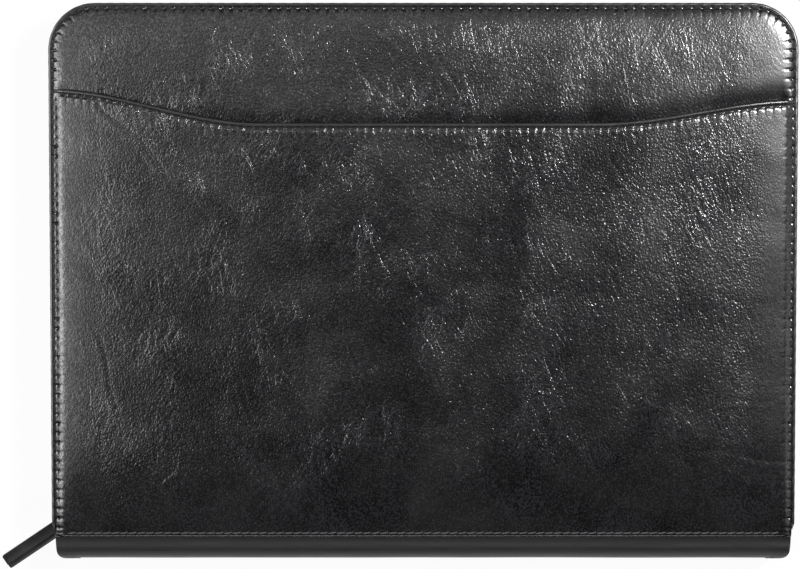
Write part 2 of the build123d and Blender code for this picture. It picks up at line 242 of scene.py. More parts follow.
def inside(low, high, u, v):
    """The x and y at two shares of a box."""
    return low.x + u * (high.x - low.x), low.y + v * (high.y - low.y)


def sizes():
    """The sizes that a user may change."""
    return bpy.context.scene.padfolio_sizes


def colours():
    """The colours that a user may change."""
    return bpy.context.scene.padfolio_colours


# Shader values and materials


def by_math(operation, swapped=False):
    """A method that puts a Math node behind an operator."""

    def method(self, other=None):
        pair = (other, self) if swapped else (self, other)
        sockets = {index: value for index, value in enumerate(pair) if value is not None}
        return self.paint.add("ShaderNodeMath", sockets, operation=operation)

    return method


class Value:
    """A socket of a material that can be written with as a number."""

    def __init__(self, paint, socket):
        self.paint = paint
        self.socket = socket

    __add__ = __radd__ = by_math("ADD")
    __mul__ = __rmul__ = by_math("MULTIPLY")
    __sub__ = by_math("SUBTRACT")
    __rsub__ = by_math("SUBTRACT", True)
    __truediv__ = by_math("DIVIDE")
    __gt__ = by_math("GREATER_THAN")
    __lt__ = by_math("LESS_THAN")
    __abs__ = by_math("ABSOLUTE")
    fraction = by_math("FRACT")
    sine = by_math("SINE")

    def limited(self):
        """The value held between 0 and 1."""
        return self.paint.add("ShaderNodeClamp", {"Value": self})

    def wave(self, step):
        """A sine wave from 0 to 1 with so long a step."""
        return (self * (2 * pi / step)).sine() * 0.5 + 0.5


class Paint:
    """One procedural material under construction."""

    def __init__(self, name):
        self.material = bpy.data.materials.new(name)
        self.material.use_nodes = True
        self.tree = self.material.node_tree
        self.tree.nodes.clear()
        self.output = self.tree.nodes.new("ShaderNodeOutputMaterial")

    def add(self, kind, sockets, output=0, **settings):
        """A node of a kind, its settings made first and its sockets then filled or linked."""
        node = self.tree.nodes.new(kind)
        for key, value in settings.items():
            setattr(node, key, value)
        for key, value in sockets.items():
            if isinstance(value, Value):
                self.tree.links.new(value.socket, node.inputs[key])
            else:
                node.inputs[key].default_value = value
        return Value(self, node.outputs[output])

    def place(self, scale=(1000, 1000, 1000), turn=0.0, shift=(0, 0, 0)):
        """Object coordinates shifted, turned and then counted in so many units to the metre."""
        spot = self.add("ShaderNodeTexCoord", {}, "Object")
        unit = tuple(1 / share for share in scale)
        sockets = {"Vector": spot, "Scale": unit, "Rotation": (0, 0, turn), "Location": shift}
        return self.add("ShaderNodeMapping", sockets, vector_type="TEXTURE")

    def axis(self, name):
        """One object coordinate in millimetres."""
        return self.add("ShaderNodeSeparateXYZ", {"Vector": self.place()}, name)

    def clouds(self, scale, detail=2.0, rough=0.5, distortion=0.0, on=None):
        """Noise from 0 to 1, in millimetres or on another place."""
        sockets = {"Vector": on or self.place(), "Scale": scale, "Detail": detail}
        sockets.update({"Roughness": rough, "Distortion": distortion})
        return self.add("ShaderNodeTexNoise", sockets)

    def cells(self, scale, on=None):
        """Distance from the nearest cell's middle."""
        return self.add("ShaderNodeTexVoronoi", {"Vector": on or self.place(), "Scale": scale})

    def mix(self, factor, first, second):
        """Two colours mixed by a factor."""
        return self.add("ShaderNodeMix", {0: factor, 6: first, 7: second}, 2, data_type="RGBA")

    def shade(self, factor, colour, dark, light):
        """A colour between two strengths of it."""
        return self.mix(factor, tone(colour, dark), tone(colour, light))

    def bump(self, height, distance):
        """A surface normal pushed by a height from 0 to 1."""
        return self.add("ShaderNodeBump", {"Height": height, "Distance": distance})

    def surface(self, **sockets):
        """A Principled surface."""
        named = {key.replace("_", " "): value for key, value in sockets.items()}
        return self.add("ShaderNodeBsdfPrincipled", named)

    def show(self, surface):
        """Shows a surface and returns the material."""
        self.tree.links.new(surface.socket, self.output.inputs["Surface"])
        return self.material

    def finish(self, **sockets):
        """Shows a Principled surface and returns the material."""
        return self.show(self.surface(**sockets))


def tone(colour, gain=1.0):
    """A colour with its strength changed and full alpha."""
    return (colour[0] * gain, colour[1] * gain, colour[2] * gain, 1.0)


def grained_leather(name):
    """Cover leather: glossy, with dense fine pebbles, soft long wrinkles and cloudy patches; glints of the
    grain are painted into its colour.
    """
    paint = Paint(name)
    x = paint.axis("X")
    y = paint.axis("Y")
    ends = ((HALF_LENGTH / MM - abs(x)) / 26.0).limited()
    top = ((FORE_Y / MM - y - 2.0) / 9.0).limited()
    foot = ((y - SPINE_Y / MM) / 34.0).limited()
    right = ((x - 30.0) / 110.0).limited()
    band = ((y - MOUTH_Y / MM + 16.0) / 24.0).limited()
    calm = (0.2 + ends * ends * 0.8) * (0.3 + top * 0.7) * (0.35 + foot * 0.65) * (1.0 - right * band * 0.5)
    grain = paint.clouds(1.15, 1.0, 0.45, on=paint.place((1150, 860, 1000), radians(6)))
    pebble = 1.0 - paint.cells(1.0, paint.place((1250, 1050, 1000), radians(-8)))
    patch = paint.clouds(0.032, 3.0, 0.55, 0.4)
    region = paint.clouds(0.04, on=paint.place(shift=(0.04, 0.012, 0.005)))
    long = paint.clouds(1.0, 3.0, 0.55, 1.0, paint.place((170, 46, 100), radians(17)))
    cross = paint.clouds(1.0, 3.0, 0.55, 1.0, paint.place((150, 52, 100), radians(-24), (0.05, 0.02, 0.01)))
    lines = (1.0 - abs(long - 0.5) * 11.0).limited() + (1.0 - abs(cross - 0.5) * 11.0).limited()
    wrinkles = lines * ((region - 0.4) * 4.0).limited()
    height = ((grain * 0.2 + pebble * 0.05) * (0.5 + patch) + wrinkles * 0.09) * calm
    # Painted highlight: the base colour is lighter on the grain's peaks and on the wrinkle lines, standing
    # in for the glints of the glossy grain; on the wrinkles it is partly also the real whitening of creased
    # leather. The coat follows the same mask.
    light = ((grain - 0.46) * 4.4 + (pebble - 0.5) * 0.9 + wrinkles * 0.5).limited()
    return paint.finish(
        Base_Color=paint.shade(light, colours().leather, 0.05, 4.4),
        Roughness=(0.27 + (patch - 0.5) * 0.3 - (grain - 0.5) * 0.3 - wrinkles * 0.05).limited(),
        Specular_IOR_Level=0.8,
        Coat_Weight=light,
        Coat_Roughness=0.26,
        Normal=paint.bump(height, MM),
    )


def edge_leather(name):
    """Tight, shiny leather of the piping and the pocket's hem."""
    paint = Paint(name)
    speck = paint.clouds(1.3, 3.0, 0.6)
    drift = paint.clouds(0.12)
    return paint.finish(
        Base_Color=paint.shade((speck * 0.7 + drift * 0.5 - 0.3).limited(), colours().leather, 1.2, 4.5),
        Roughness=(0.31 + (drift - 0.5) * 0.25).limited(),
        Specular_IOR_Level=1.0,
        Normal=paint.bump(speck, 0.06 * MM),
    )


def smooth_leather(name, shade, gloss, rough):
    """Leather with little grain, of a shade of the trim colour."""
    paint = Paint(name)
    grain = paint.cells(1.7)
    speck = paint.clouds(1.1, 3.0, 0.6)
    drift = paint.clouds(0.06)
    streak = paint.clouds(1.0, on=paint.place((24, 420, 420)))
    light = (speck * 0.5 + drift * 0.4 + streak * 0.5 - 0.4).limited()
    return paint.finish(
        Base_Color=paint.shade(light, colours().trim, 0.6 * shade, 1.9 * shade),
        Roughness=(rough + (drift - 0.5) * 0.2 - (streak - 0.5) * 0.2).limited(),
        Specular_IOR_Level=gloss,
        Normal=paint.bump(grain * 0.4 + speck * 0.4 + streak * 0.6, 0.05 * MM),
    )


def pull_rubber(name):
    """Matt moulded face of the zip pull."""
    paint = Paint(name)
    speck = paint.clouds(2.2, 3.0, 0.6)
    drift = paint.clouds(0.25)
    return paint.finish(
        Base_Color=paint.shade((speck * 0.6 + drift * 0.6 - 0.4).limited(), colours().trim, 0.15, 0.5),
        Roughness=(0.46 + (drift - 0.5) * 0.3).limited(),
        Normal=paint.bump(speck, 0.05 * MM),
    )


def twisted_thread(name, colour):
    """Sewing thread with its twist."""
    paint = Paint(name)
    twist = abs(((paint.axis("X") + paint.axis("Y")) * 2.1).fraction() - 0.5) * 2.0
    fuzz = paint.clouds(3.0, 2.0, 0.6)
    return paint.finish(
        Base_Color=paint.shade(twist * 0.7 + fuzz * 0.3, colour, 0.45, 1.35),
        Roughness=0.5 + fuzz * 0.2,
        Normal=paint.bump(twist, 0.12 * MM),
    )


def woven(name, step, rough):
    """Plain weave of the lining's colour, of a thread step in millimetres."""
    paint = Paint(name)
    lean = paint.axis("Z") * 0.5
    warp = ((paint.axis("X") + lean) * (pi / step)).sine()
    weft = ((paint.axis("Y") + lean) * (pi / step)).sine()
    over = warp * weft * 0.5 + 0.5
    drift = paint.clouds(0.08)
    fuzz = paint.clouds(2.4, 2.0, 0.6)
    light = (over * 0.5 + fuzz * 0.3 + drift * 0.4 - 0.2).limited()
    return paint.finish(
        Base_Color=paint.shade(light, colours().lining, 0.5, 1.7),
        Roughness=(rough + (drift - 0.5) * 0.16).limited(),
        Normal=paint.bump(over, 0.14 * MM),
    )


def elastic_band(name):
    """Ribbed elastic of the pen loop."""
    paint = Paint(name)
    rib = paint.axis("X").wave(1.1)
    cross = (paint.axis("Y") + paint.axis("Z")).wave(0.7)
    fuzz = paint.clouds(2.2, 2.0, 0.6)
    light = (rib * 0.5 + cross * 0.25 + fuzz * 0.3 - 0.1).limited()
    return paint.finish(
        Base_Color=paint.shade(light, colours().lining, 0.4, 1.5),
        Roughness=0.66 + fuzz * 0.15,
        Normal=paint.bump(rib * 0.8 + cross * 0.2, 0.2 * MM),
    )


def zip_tape(name):
    """Herringbone of the zip's tapes."""
    paint = Paint(name)
    run = paint.axis("X") + paint.axis("Y")
    chevron = abs((paint.axis("Z") / 2.2).fraction() - 0.5) * 4.0
    rib = (run * 0.9 + chevron).fraction()
    fuzz = paint.clouds(2.0, 2.0, 0.6)
    return paint.finish(
        Base_Color=paint.shade((rib * 0.6 + fuzz * 0.4).limited(), colours().lining, 0.35, 1.3),
        Roughness=0.7 + fuzz * 0.15,
        Normal=paint.bump(rib, 0.12 * MM),
    )


def tooth_plastic(name):
    """Moulded plastic of the zip's teeth."""
    paint = Paint(name)
    fine = paint.clouds(6.0)
    return paint.finish(
        Base_Color=paint.shade(paint.clouds(0.7), colours().enamel, 0.7, 1.4),
        Roughness=0.3 + fine * 0.15,
        Normal=paint.bump(fine, 0.02 * MM),
    )


def enamelled_metal(name):
    """Black enamel over metal, worn a little bright."""
    paint = Paint(name)
    wear = ((paint.clouds(0.9, 4.0, 0.65) - 0.56) / 0.16).limited()
    fine = paint.clouds(5.0)
    return paint.finish(
        Base_Color=paint.mix(wear * 0.35, tone(colours().enamel), (0.22, 0.22, 0.23, 1.0)),
        Metallic=0.35 + wear * 0.5,
        Roughness=0.24 + fine * 0.14,
        Normal=paint.bump(fine, 0.02 * MM),
    )


def ruled_paper(name):
    """Sheets of the pad: ruled on top, leaf by leaf at the edges."""
    paint = Paint(name)
    x = paint.axis("X")
    facing = paint.add("ShaderNodeNewGeometry", {}, "Normal")
    upright = abs(paint.add("ShaderNodeSeparateXYZ", {"Vector": facing}, "Z"))
    top = ((upright - 0.7) * 10.0).limited()
    side = 1.0 - top
    line = (abs(((x + 100.0) / 8.7).fraction() - 0.5) < 0.022) * (x > -112.0) * top
    margin = (abs(paint.axis("Y") - 76.0) < 0.3) * top
    leaf = paint.axis("Z").wave(0.22)
    fibre = paint.clouds(1.6, 4.0, 0.6)
    stock = paint.shade((leaf * side * 0.6 + fibre * 0.25).limited(), colours().paper, 1.0, 0.72)
    lined = paint.mix(line * 0.6, stock, (0.22, 0.36, 0.62, 1.0))
    return paint.finish(
        Base_Color=paint.mix(margin * 0.6, lined, (0.66, 0.18, 0.2, 1.0)),
        Roughness=0.78 + fibre * 0.12,
        Normal=paint.bump(leaf * side + fibre * 0.1, 0.06 * MM),
    )


def grey_board(name):
    """Greyboard of covers and pad, with the lining wrapped round the spine edge."""
    paint = Paint(name)
    bare = ((paint.axis("Y") - SPINE_Y / MM - 0.3) * 5.0).limited()
    fibre = paint.clouds(1.0, 4.0, 0.65, on=paint.place((900, 300, 900)))
    fleck = ((paint.clouds(1.4) - 0.62) / 0.08).limited()
    stock = paint.mix(fibre, (0.30, 0.27, 0.22, 1.0), (0.44, 0.40, 0.33, 1.0))
    board = paint.mix(fleck * 0.5, stock, (0.18, 0.16, 0.13, 1.0))
    return paint.finish(
        Base_Color=paint.mix(bare, tone(colours().lining), board),
        Roughness=0.82 + fibre * 0.1,
        Normal=paint.bump(fibre, 0.05 * MM),
    )


def clear_film(name):
    """Clear vinyl of the card window."""
    paint = Paint(name)
    scratch = paint.clouds(1.0, 3.0, 0.6, on=paint.place((1500, 200, 900)))
    scuff = ((scratch - 0.58) / 0.12).limited()
    return paint.finish(
        Base_Color=paint.mix(scuff, (0.62, 0.64, 0.65, 1.0), (0.8, 0.82, 0.83, 1.0)),
        Roughness=0.1 + scuff * 0.2,
        Alpha=0.22 + scuff * 0.12,
        Normal=paint.bump(paint.clouds(0.07), 1.2 * MM),
    )


def white_floor(name):
    """White floor for the camera and reflections that still takes a faint shadow."""
    paint = Paint(name)
    drift = paint.clouds(1.0, on=paint.place((4, 4, 4)))
    plain = paint.surface(
        Base_Color=paint.mix(drift, (0.86, 0.86, 0.86, 1), (0.88, 0.88, 0.88, 1)),
        Roughness=1.0,
        Specular_IOR_Level=0.0,
    )
    glow = paint.add("ShaderNodeEmission", {"Color": (1, 1, 1, 1), "Strength": 1.0})
    seen = 0.0
    for kind in ("Camera", "Glossy", "Transmission"):
        seen = seen + paint.add("ShaderNodeLightPath", {}, "Is %s Ray" % kind)
    return paint.show(paint.add("ShaderNodeMixShader", {0: seen.limited() * 0.94, 1: plain, 2: glow}))


MAKERS = {
    "grained_leather": grained_leather,
    "edge_leather": edge_leather,
    "trim_leather": lambda name: smooth_leather(name, 1.0, 0.14, 0.5),
    "spine_leather": lambda name: smooth_leather(name, 0.42, 0.34, 0.42),
    "pull_rubber": pull_rubber,
    "dark_thread": lambda name: twisted_thread(name, colours().thread),
    "seam_thread": lambda name: twisted_thread(name, colours().seam_thread),
    "lining_cloth": lambda name: woven(name, 0.8, 0.62),
    "binding_cloth": lambda name: woven(name, 0.6, 0.55),
    "elastic_band": elastic_band,
    "zip_tape": zip_tape,
    "tooth_plastic": tooth_plastic,
    "enamelled_metal": enamelled_metal,
    "ruled_paper": ruled_paper,
    "grey_board": grey_board,
    "clear_film": clear_film,
    "white_floor": white_floor,
}
FINISHES = {}


def coat(piece, finish):
    """Gives a piece its one finish, which is made the first time it is asked for."""
    if finish not in FINISHES:
        FINISHES[finish] = MAKERS[finish](finish)
    piece.data.materials.clear()
    piece.data.materials.append(FINISHES[finish])


# Modelling helpers


def only(piece):
    """Selects one piece and makes it active."""
    bpy.ops.object.select_all(action="DESELECT")
    piece.select_set(True)
    bpy.context.view_layer.objects.active = piece


def editing(on):
    """Enters or leaves edit mode."""
    bpy.ops.object.mode_set(mode="EDIT" if on else "OBJECT")


def apply_modifier(piece, kind, **settings):
    """Adds a modifier with its settings and applies it."""
    only(piece)
    modifier = piece.modifiers.new(kind.title(), kind)
    for key, value in settings.items():
        setattr(modifier, key, value)
    bpy.ops.object.modifier_apply(modifier=modifier.name)


def primitive(name, add, **settings):
    """A primitive under a name of its own."""
    bpy.ops.object.select_all(action="DESELECT")
    add(**settings)
    piece = bpy.context.object
    piece.name = name
    piece.data.name = name
    return piece


def pick(piece, kind, test):
    """Enters edit mode with the faces selected that pass a test, or the edges whose two ends pass it."""
    only(piece)
    editing(True)
    bpy.ops.mesh.select_mode(type=kind)
    bpy.ops.mesh.select_all(action="DESELECT")
    editing(False)
    corners = piece.data.vertices
    if kind == "FACE":
        for face in piece.data.polygons:
            face.select = test(face)
    else:
        for edge in piece.data.edges:
            edge.select = test(*(corners[index].co for index in edge.vertices))
    editing(True)


def weld(piece):
    """Merges what meets, turns the faces outwards and smooths them."""
    only(piece)
    editing(True)
    bpy.ops.mesh.select_all(action="SELECT")
    bpy.ops.mesh.remove_doubles(threshold=0.001 * MM)
    bpy.ops.mesh.normals_make_consistent(inside=False)
    editing(False)
    bpy.ops.object.shade_smooth_by_angle(angle=radians(50))
    return piece


def grid(name, columns, rows, place):
    """A primitive grid whose corner at (u, v), each from 0 to 1, goes to place(u, v)."""
    add = bpy.ops.mesh.primitive_grid_add
    piece = primitive(name, add, x_subdivisions=columns, y_subdivisions=rows, size=1)
    for corner in piece.data.vertices:
        corner.co = place(corner.co.x + 0.5, corner.co.y + 0.5)
    return piece


def relief(name, columns, rows, place, height, crowded):
    """A grid over flat places of (u, v), cut finer where a spot is crowded, then lifted to a height."""
    piece = grid(name, columns, rows, place)
    pick(piece, "FACE", lambda face: crowded(face.center.x, face.center.y))
    bpy.ops.mesh.subdivide(number_cuts=2)
    bpy.ops.mesh.select_mode(type="VERT")
    editing(False)
    for corner in piece.data.vertices:
        corner.co.z = height(corner.co.x, corner.co.y)
    return piece


def tube(name, columns, ring, place):
    """A tube whose corner at (u, angle) goes to place(u, angle)."""
    return weld(grid(name, columns, ring, lambda u, v: place(u, 2 * pi * (v if v < 0.9999 else 0.0))))


def sheet(name, columns, rows, place, thickness, side=0.0):
    """A sheet of some thickness, grown to one side or to both, with its edges closed."""
    piece = grid(name, columns, rows, place)
    apply_modifier(piece, "SOLIDIFY", thickness=thickness, offset=side, use_even_offset=False)
    return weld(piece)


def close_base(piece, level):
    """Carries the rim of an open form to one level and closes it there."""
    only(piece)
    editing(True)
    bpy.ops.mesh.select_mode(type="EDGE")
    bpy.ops.mesh.select_all(action="DESELECT")
    bpy.ops.mesh.select_non_manifold()
    bpy.ops.mesh.extrude_region_move()
    bpy.ops.transform.resize(value=(1, 1, 0), center_override=(0, 0, level))
    bpy.ops.mesh.edge_face_add()
    bpy.ops.mesh.select_mode(type="VERT")
    editing(False)
    weld(piece)


def copies(name, pattern, places):
    """One mesh that holds a copy of a pattern at each place; the pattern is taken away."""
    made = bmesh.new()
    for place in places:
        first = len(made.verts)
        made.from_mesh(pattern.data)
        made.verts.ensure_lookup_table()
        bmesh.ops.transform(made, matrix=place, verts=made.verts[first:])
    bpy.data.objects.remove(pattern)
    mesh = bpy.data.meshes.new(name)
    made.to_mesh(mesh)
    made.free()
    piece = bpy.data.objects.new(name, mesh)
    bpy.context.scene.collection.objects.link(piece)
    only(piece)
    bpy.ops.object.shade_smooth_by_angle(angle=radians(50))
    return piece


def block(name, low, high):
    """A primitive cube brought to a box, to be shaped further."""
    middle = (Vector(low) + Vector(high)) / 2
    piece = primitive(name, bpy.ops.mesh.primitive_cube_add, size=1, location=middle)
    piece.scale = Vector(high) - Vector(low)
    bpy.ops.object.transform_apply(location=True, rotation=True, scale=True)
    return piece


def raise_face(amount):
    """Extrudes the selected faces straight up."""
    bpy.ops.mesh.extrude_region_move(TRANSFORM_OT_translate={"value": (0, 0, amount)})


def soften(piece, width, segments=2):
    """Rounds the sharp edges of a finished block."""
    sharp = {"limit_method": "ANGLE", "angle_limit": radians(35)}
    apply_modifier(piece, "BEVEL", width=width, segments=segments, **sharp)
    weld(piece)


def settle(place, along, up):
    """The matrix of a copy at a place with its length and its upper side given."""
    x_axis = along.normalized()
    z_axis = (up - x_axis * up.dot(x_axis)).normalized()
    turn = Matrix((x_axis, z_axis.cross(x_axis), z_axis)).transposed().to_4x4()
    return Matrix.Translation(place) @ turn


def dress(piece, finish, body, slot, *nodes):
    """Gives a piece its finish and its body, and hides the CAD nodes that it stands for."""
    coat(piece, finish)
    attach(piece, body)
    if nodes:
        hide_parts(*nodes)
    return piece


def coat_nodes(finish, *nodes):
    """Gives CAD nodes that stay their finish."""
    for node in nodes:
        coat(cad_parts[node], finish)


# Shapes of the covers


class EdgeRoute:
    """The U-shaped line at one distance inside the outline, from the spine round to the spine."""

    def __init__(self, inset, start=SPINE_Y):
        self.inset = inset
        self.start = start
        self.radius = max(CORNER - inset, MM)
        self.side = HALF_LENGTH - inset
        self.up = FORE_Y - inset - self.radius - start
        self.turn = self.radius * pi / 2
        self.across = 2 * (self.side - self.radius)
        self.length = 2 * (self.up + self.turn) + self.across

    def at(self, along):
        """The point and the outward direction at a length along the route."""
        if along > self.length / 2:
            point, out = self.at(self.length - along)
            return Vector((-point.x, point.y, 0)), Vector((-out.x, out.y, 0))
        if along < self.up:
            return Vector((-self.side, self.start + along, 0)), Vector((-1, 0, 0))
        along -= self.up
        if along < self.turn:
            angle = pi - along / self.radius
            out = Vector((cos(angle), sin(angle), 0))
            middle = Vector((self.radius - self.side, FORE_Y - self.inset - self.radius, 0))
            return middle + self.radius * out, out
        along -= self.turn
        return Vector((self.radius - self.side + along, FORE_Y - self.inset, 0)), Vector((0, 1, 0))

    def nearest(self, x, y):
        """The length along the route nearest to a point, from the spine on the point's own side."""
        side = abs(x) - (self.side - self.radius)
        fore = y - (FORE_Y - self.inset - self.radius)
        if side > 0 and fore > 0:
            return self.up + self.radius * atan2(fore, side)
        if fore > side:
            return self.up + self.turn + max(0.0, -side)
        return y - self.start

    def pitch(self, wanted):
        """The pitch near the wanted one that fills half the route with whole stitches."""
        return self.length / 2 / round(self.length / 2 / wanted)


SEAM = EdgeRoute(SEAM_INSET)


def edge_inset(x, y):
    """How far a point lies inside the outline on the three zipped sides."""
    side = HALF_LENGTH - abs(x)
    fore = FORE_Y - y
    if side < CORNER and fore < CORNER:
        return CORNER - hypot(CORNER - side, CORNER - fore)
    return min(side, fore)


def by_edge(x, y):
    """Whether a point lies near the edge seam."""
    return edge_inset(x, y) < FINE_EDGE


def into_outline(u, v, margin):
    """A share of the cover's rectangle, pulled into the outline with its rounded fore corners."""
    reach = CORNER - margin
    x = (2 * u - 1) * (HALF_LENGTH - margin)
    y = SPINE_Y + v * (FORE_Y - margin - SPINE_Y)
    side = (abs(x) - (HALF_LENGTH - CORNER)) / reach
    fore = (y - (FORE_Y - CORNER)) / reach
    if side > 0 and fore > 0:
        new_side = side * sqrt(1 - fore * fore / 2)
        new_fore = fore * sqrt(1 - side * side / 2)
        x = (1 if x > 0 else -1) * (HALF_LENGTH - CORNER + reach * new_side)
        y = FORE_Y - CORNER + reach * new_fore
    return x, y


def mouth_line(x):
    """The pocket's mouth: level in the middle, rising in an S-curve at each end."""
    left = smooth((LEFT_RUN - HALF_LENGTH - x) / LEFT_RUN) * LEFT_RISE
    right = smooth((x - HALF_LENGTH + RIGHT_RUN) / RIGHT_RUN) * RIGHT_RISE
    return MOUTH_Y + left + right


def stitch_pull(along, pitch):
    """How hard the thread pulls at a length along a seam: 1 at each hole, 0 between two holes."""
    uneven = 0.75 + 0.7 * noise.noise(Vector((along * 170, 2.5, 7.5)))
    return uneven * max(cos(2 * pi * along / pitch), 0) ** 4


def sewn_edge(inset, pull, roll):
    """Height of padded leather beside the edge seam, below its full height."""
    inner = inset - SEAM_INSET
    swell = 1 - (1 - clamp(inner / roll)) ** 2.6
    groove = ridge(inner, 0.2, 0, 0.28) * (0.7 + 0.3 * pull)
    notch = ridge(inner, 0.6, 0.6, 0.75) + ridge(inner, 0.18, 2.2, 1.8)
    return 0.4 * MM * swell - 0.65 * MM - groove - notch * pull


def spine_fall(y):
    """How far the leather drops towards the seam beside the spine."""
    gap = y - SPINE_Y
    roll = 0.35 * MM * (1 - clamp(gap / (20 * MM))) ** 3
    return roll + ridge(gap, 0.15, 2.2, 0.45) + ridge(gap, 1.0, 0, 0.4)


def waves(x, y, seed):
    """Slow waves and patches in the leather, about -1 to 1."""
    slow = noise.noise(Vector((x * 26, y * 21, seed)))
    quick = noise.noise(Vector((x * 95, y * 62, seed + 5.5)))
    short = noise.noise(Vector((x * 300, y * 150, seed + 9.1)))
    return 0.75 * slow + 0.3 * quick + 0.12 * short


def crease_depth(x, y):
    """Depth of the long creases at a point."""
    total = 0.0
    for (x0, y0), (x1, y1), depth in CREASES:
        run_x = (x1 - x0) * MM
        run_y = (y1 - y0) * MM
        spot_x = x - x0 * MM
        spot_y = y - y0 * MM
        square = run_x * run_x + run_y * run_y
        share = (spot_x * run_x + spot_y * run_y) / square
        if -0.15 < share < 1.15:
            bend = 1.6 * MM * sin(share * 5.1 + x0)
            off = (spot_x * run_y - spot_y * run_x) / sqrt(square) + bend
            if abs(off) < 8 * MM:
                fade = smooth(share / 0.25 + 0.6) * smooth((1 - share) / 0.25 + 0.6)
                total += depth * fade * (ridge(off, 1, 0, 1.0) - ridge(off, 0.55, 2.4, 1.5))
    return total


def creased(x, y):
    """Whether a point lies in a long crease."""
    return abs(crease_depth(x, y)) > 0.004 * MM


class LeatherShape:
    """Sizes that the heights need, read once from the user's settings."""

    def read(self):
        """Reads the sizes again and blows up the padding's cloth."""
        size = sizes()
        self.crown = size.crown
        self.roll = size.roll
        self.relief = size.relief
        self.hem_pitch = size.hem_pitch
        self.pitch = SEAM.pitch(size.edge_pitch)
        self.cloth = blown_cloth(size.blown)

    def padding(self, x, y):
        """How far the foam lifts the leather above its seams; a plain curve stands in for no cloth."""
        edge = clamp((edge_inset(x, y) - SEAM_INSET) / (25 * MM))
        if not self.cloth:
            foot = clamp((y - SPINE_Y) / (50 * MM))
            return self.crown * (1 - (1 - edge) ** 3) * (1 - (1 - foot) ** 3)
        u = clamp((x / SEAM.side + 1) / 2) * CLOTH_COLUMNS
        v = clamp((y - SPINE_Y) / (FORE_Y - SEAM_INSET - SPINE_Y)) * CLOTH_ROWS
        column = min(int(u), CLOTH_COLUMNS - 1)
        row = min(int(v), CLOTH_ROWS - 1)
        across = u - column
        along = v - row
        lower = self.cloth[column, row] * (1 - across) + self.cloth[column + 1, row] * across
        upper = self.cloth[column, row + 1] * (1 - across) + self.cloth[column + 1, row + 1] * across
        lift = lower * (1 - along) + upper * along
        foot = smooth((y - SPINE_Y) / (45 * MM))
        return self.crown * (1 - exp(-lift / self.crown)) * (1 - (1 - clamp(5 * edge)) ** 2) * foot


SHAPE = LeatherShape()


def blown_cloth(blown):
    """Heights of a cloth that is pinned along its seams and blown up, by column and row."""
    scene = bpy.context.scene
    first = scene.frame_current
    depth = FORE_Y - SEAM_INSET - SPINE_Y

    def place(u, v):
        return Vector(((2 * u - 1) * SEAM.side, SPINE_Y + v * depth, 0))

    piece = grid("padding_cloth", CLOTH_COLUMNS, CLOTH_ROWS, place)
    held = []
    for corner in piece.data.vertices:
        x, y, _ = corner.co
        if min(edge_inset(x, y) - SEAM_INSET, y - SPINE_Y) < 0.5 * MM:
            held.append(corner.index)
    piece.vertex_groups.new(name="seam").add(held, 1.0, "REPLACE")
    cloth = piece.modifiers.new("Cloth", "CLOTH")
    cloth.settings.vertex_group_mass = "seam"
    cloth.settings.quality = 6
    cloth.settings.tension_stiffness = 40
    cloth.settings.compression_stiffness = 40
    cloth.settings.shear_stiffness = 20
    cloth.settings.bending_stiffness = 2
    cloth.settings.use_pressure = True
    cloth.settings.uniform_pressure_force = 4
    cloth.settings.effector_weights.gravity = 0
    cloth.point_cache.frame_end = CLOTH_FRAMES
    for number in range(1, CLOTH_FRAMES + 1):
        scene.frame_set(number)
    bpy.ops.object.modifier_apply(modifier=cloth.name)
    top = max(corner.co.z for corner in piece.data.vertices)
    if top < 0.5 * MM:
        raise RuntimeError("the padding's cloth didn't rise")
    heights = {}
    for corner in piece.data.vertices:
        row, column = divmod(corner.index, CLOTH_COLUMNS + 1)
        heights[column, row] = max(corner.co.z, 0.0) * blown / top
    bpy.data.objects.remove(piece)
    scene.frame_set(first)
    return heights


def cover_height(x, y):
    """Height of the front cover's leather without the hollow above the pocket's mouth."""
    inset = edge_inset(x, y)
    pull = stitch_pull(SEAM.nearest(x, y), SHAPE.pitch)
    inner = smooth((inset - SEAM_INSET) / (8 * MM)) * smooth((y - SPINE_Y) / (12 * MM))
    body = SHAPE.relief * waves(x, y, 3.0) - crease_depth(x, y)
    level = FRONT_FACE + sewn_edge(inset, pull, SHAPE.roll) - spine_fall(y)
    return level + SHAPE.padding(x, y) + inner * body


def front_height(x, y):
    """Height of the front cover's leather."""
    right = smooth((x + 20 * MM) / (150 * MM))
    dip = ridge(y - mouth_line(x), 0.8 + 0.7 * right, -3, 4.5 + 2.5 * right)
    return cover_height(x, y) - dip * smooth((edge_inset(x, y) - SEAM_INSET) / (6 * MM))


def pocket_height(x, y):
    """Height of the patch pocket's outer face."""
    inset = edge_inset(x, y)
    inner = smooth((inset - 2 * MM) / (4 * MM))
    below = mouth_line(x) - y
    seam = below - HEM_STITCH
    puff = ridge(below, 0.7, 0, 30) * smooth((inset - SEAM_INSET) / (30 * MM))
    notch = ridge(seam, 0.5, 0.9, 0.85) + ridge(seam, 0.1, 3, 2)
    sewn = ridge(seam, 0.5, 0, 0.65) + notch * stitch_pull(x, SHAPE.hem_pitch)
    return cover_height(x, y) + (0.45 + 0.55 * inner) * MM + puff - inner * sewn


def back_height(x, y):
    """Height of the back cover's leather, flat where it rests."""
    pull = stitch_pull(SEAM.nearest(x, y), SHAPE.pitch)
    return BACK_FACE - min(0.0, sewn_edge(edge_inset(x, y), pull, SHAPE.roll) - 0.25 * spine_fall(y))


def slope_up(height, x, y):
    """The upward normal of a height at a point."""
    step = 0.4 * MM
    across = height(x + step, y) - height(x - step, y)
    along = height(x, y + step) - height(x, y - step)
    return Vector((-across, -along, 2 * step)).normalized()


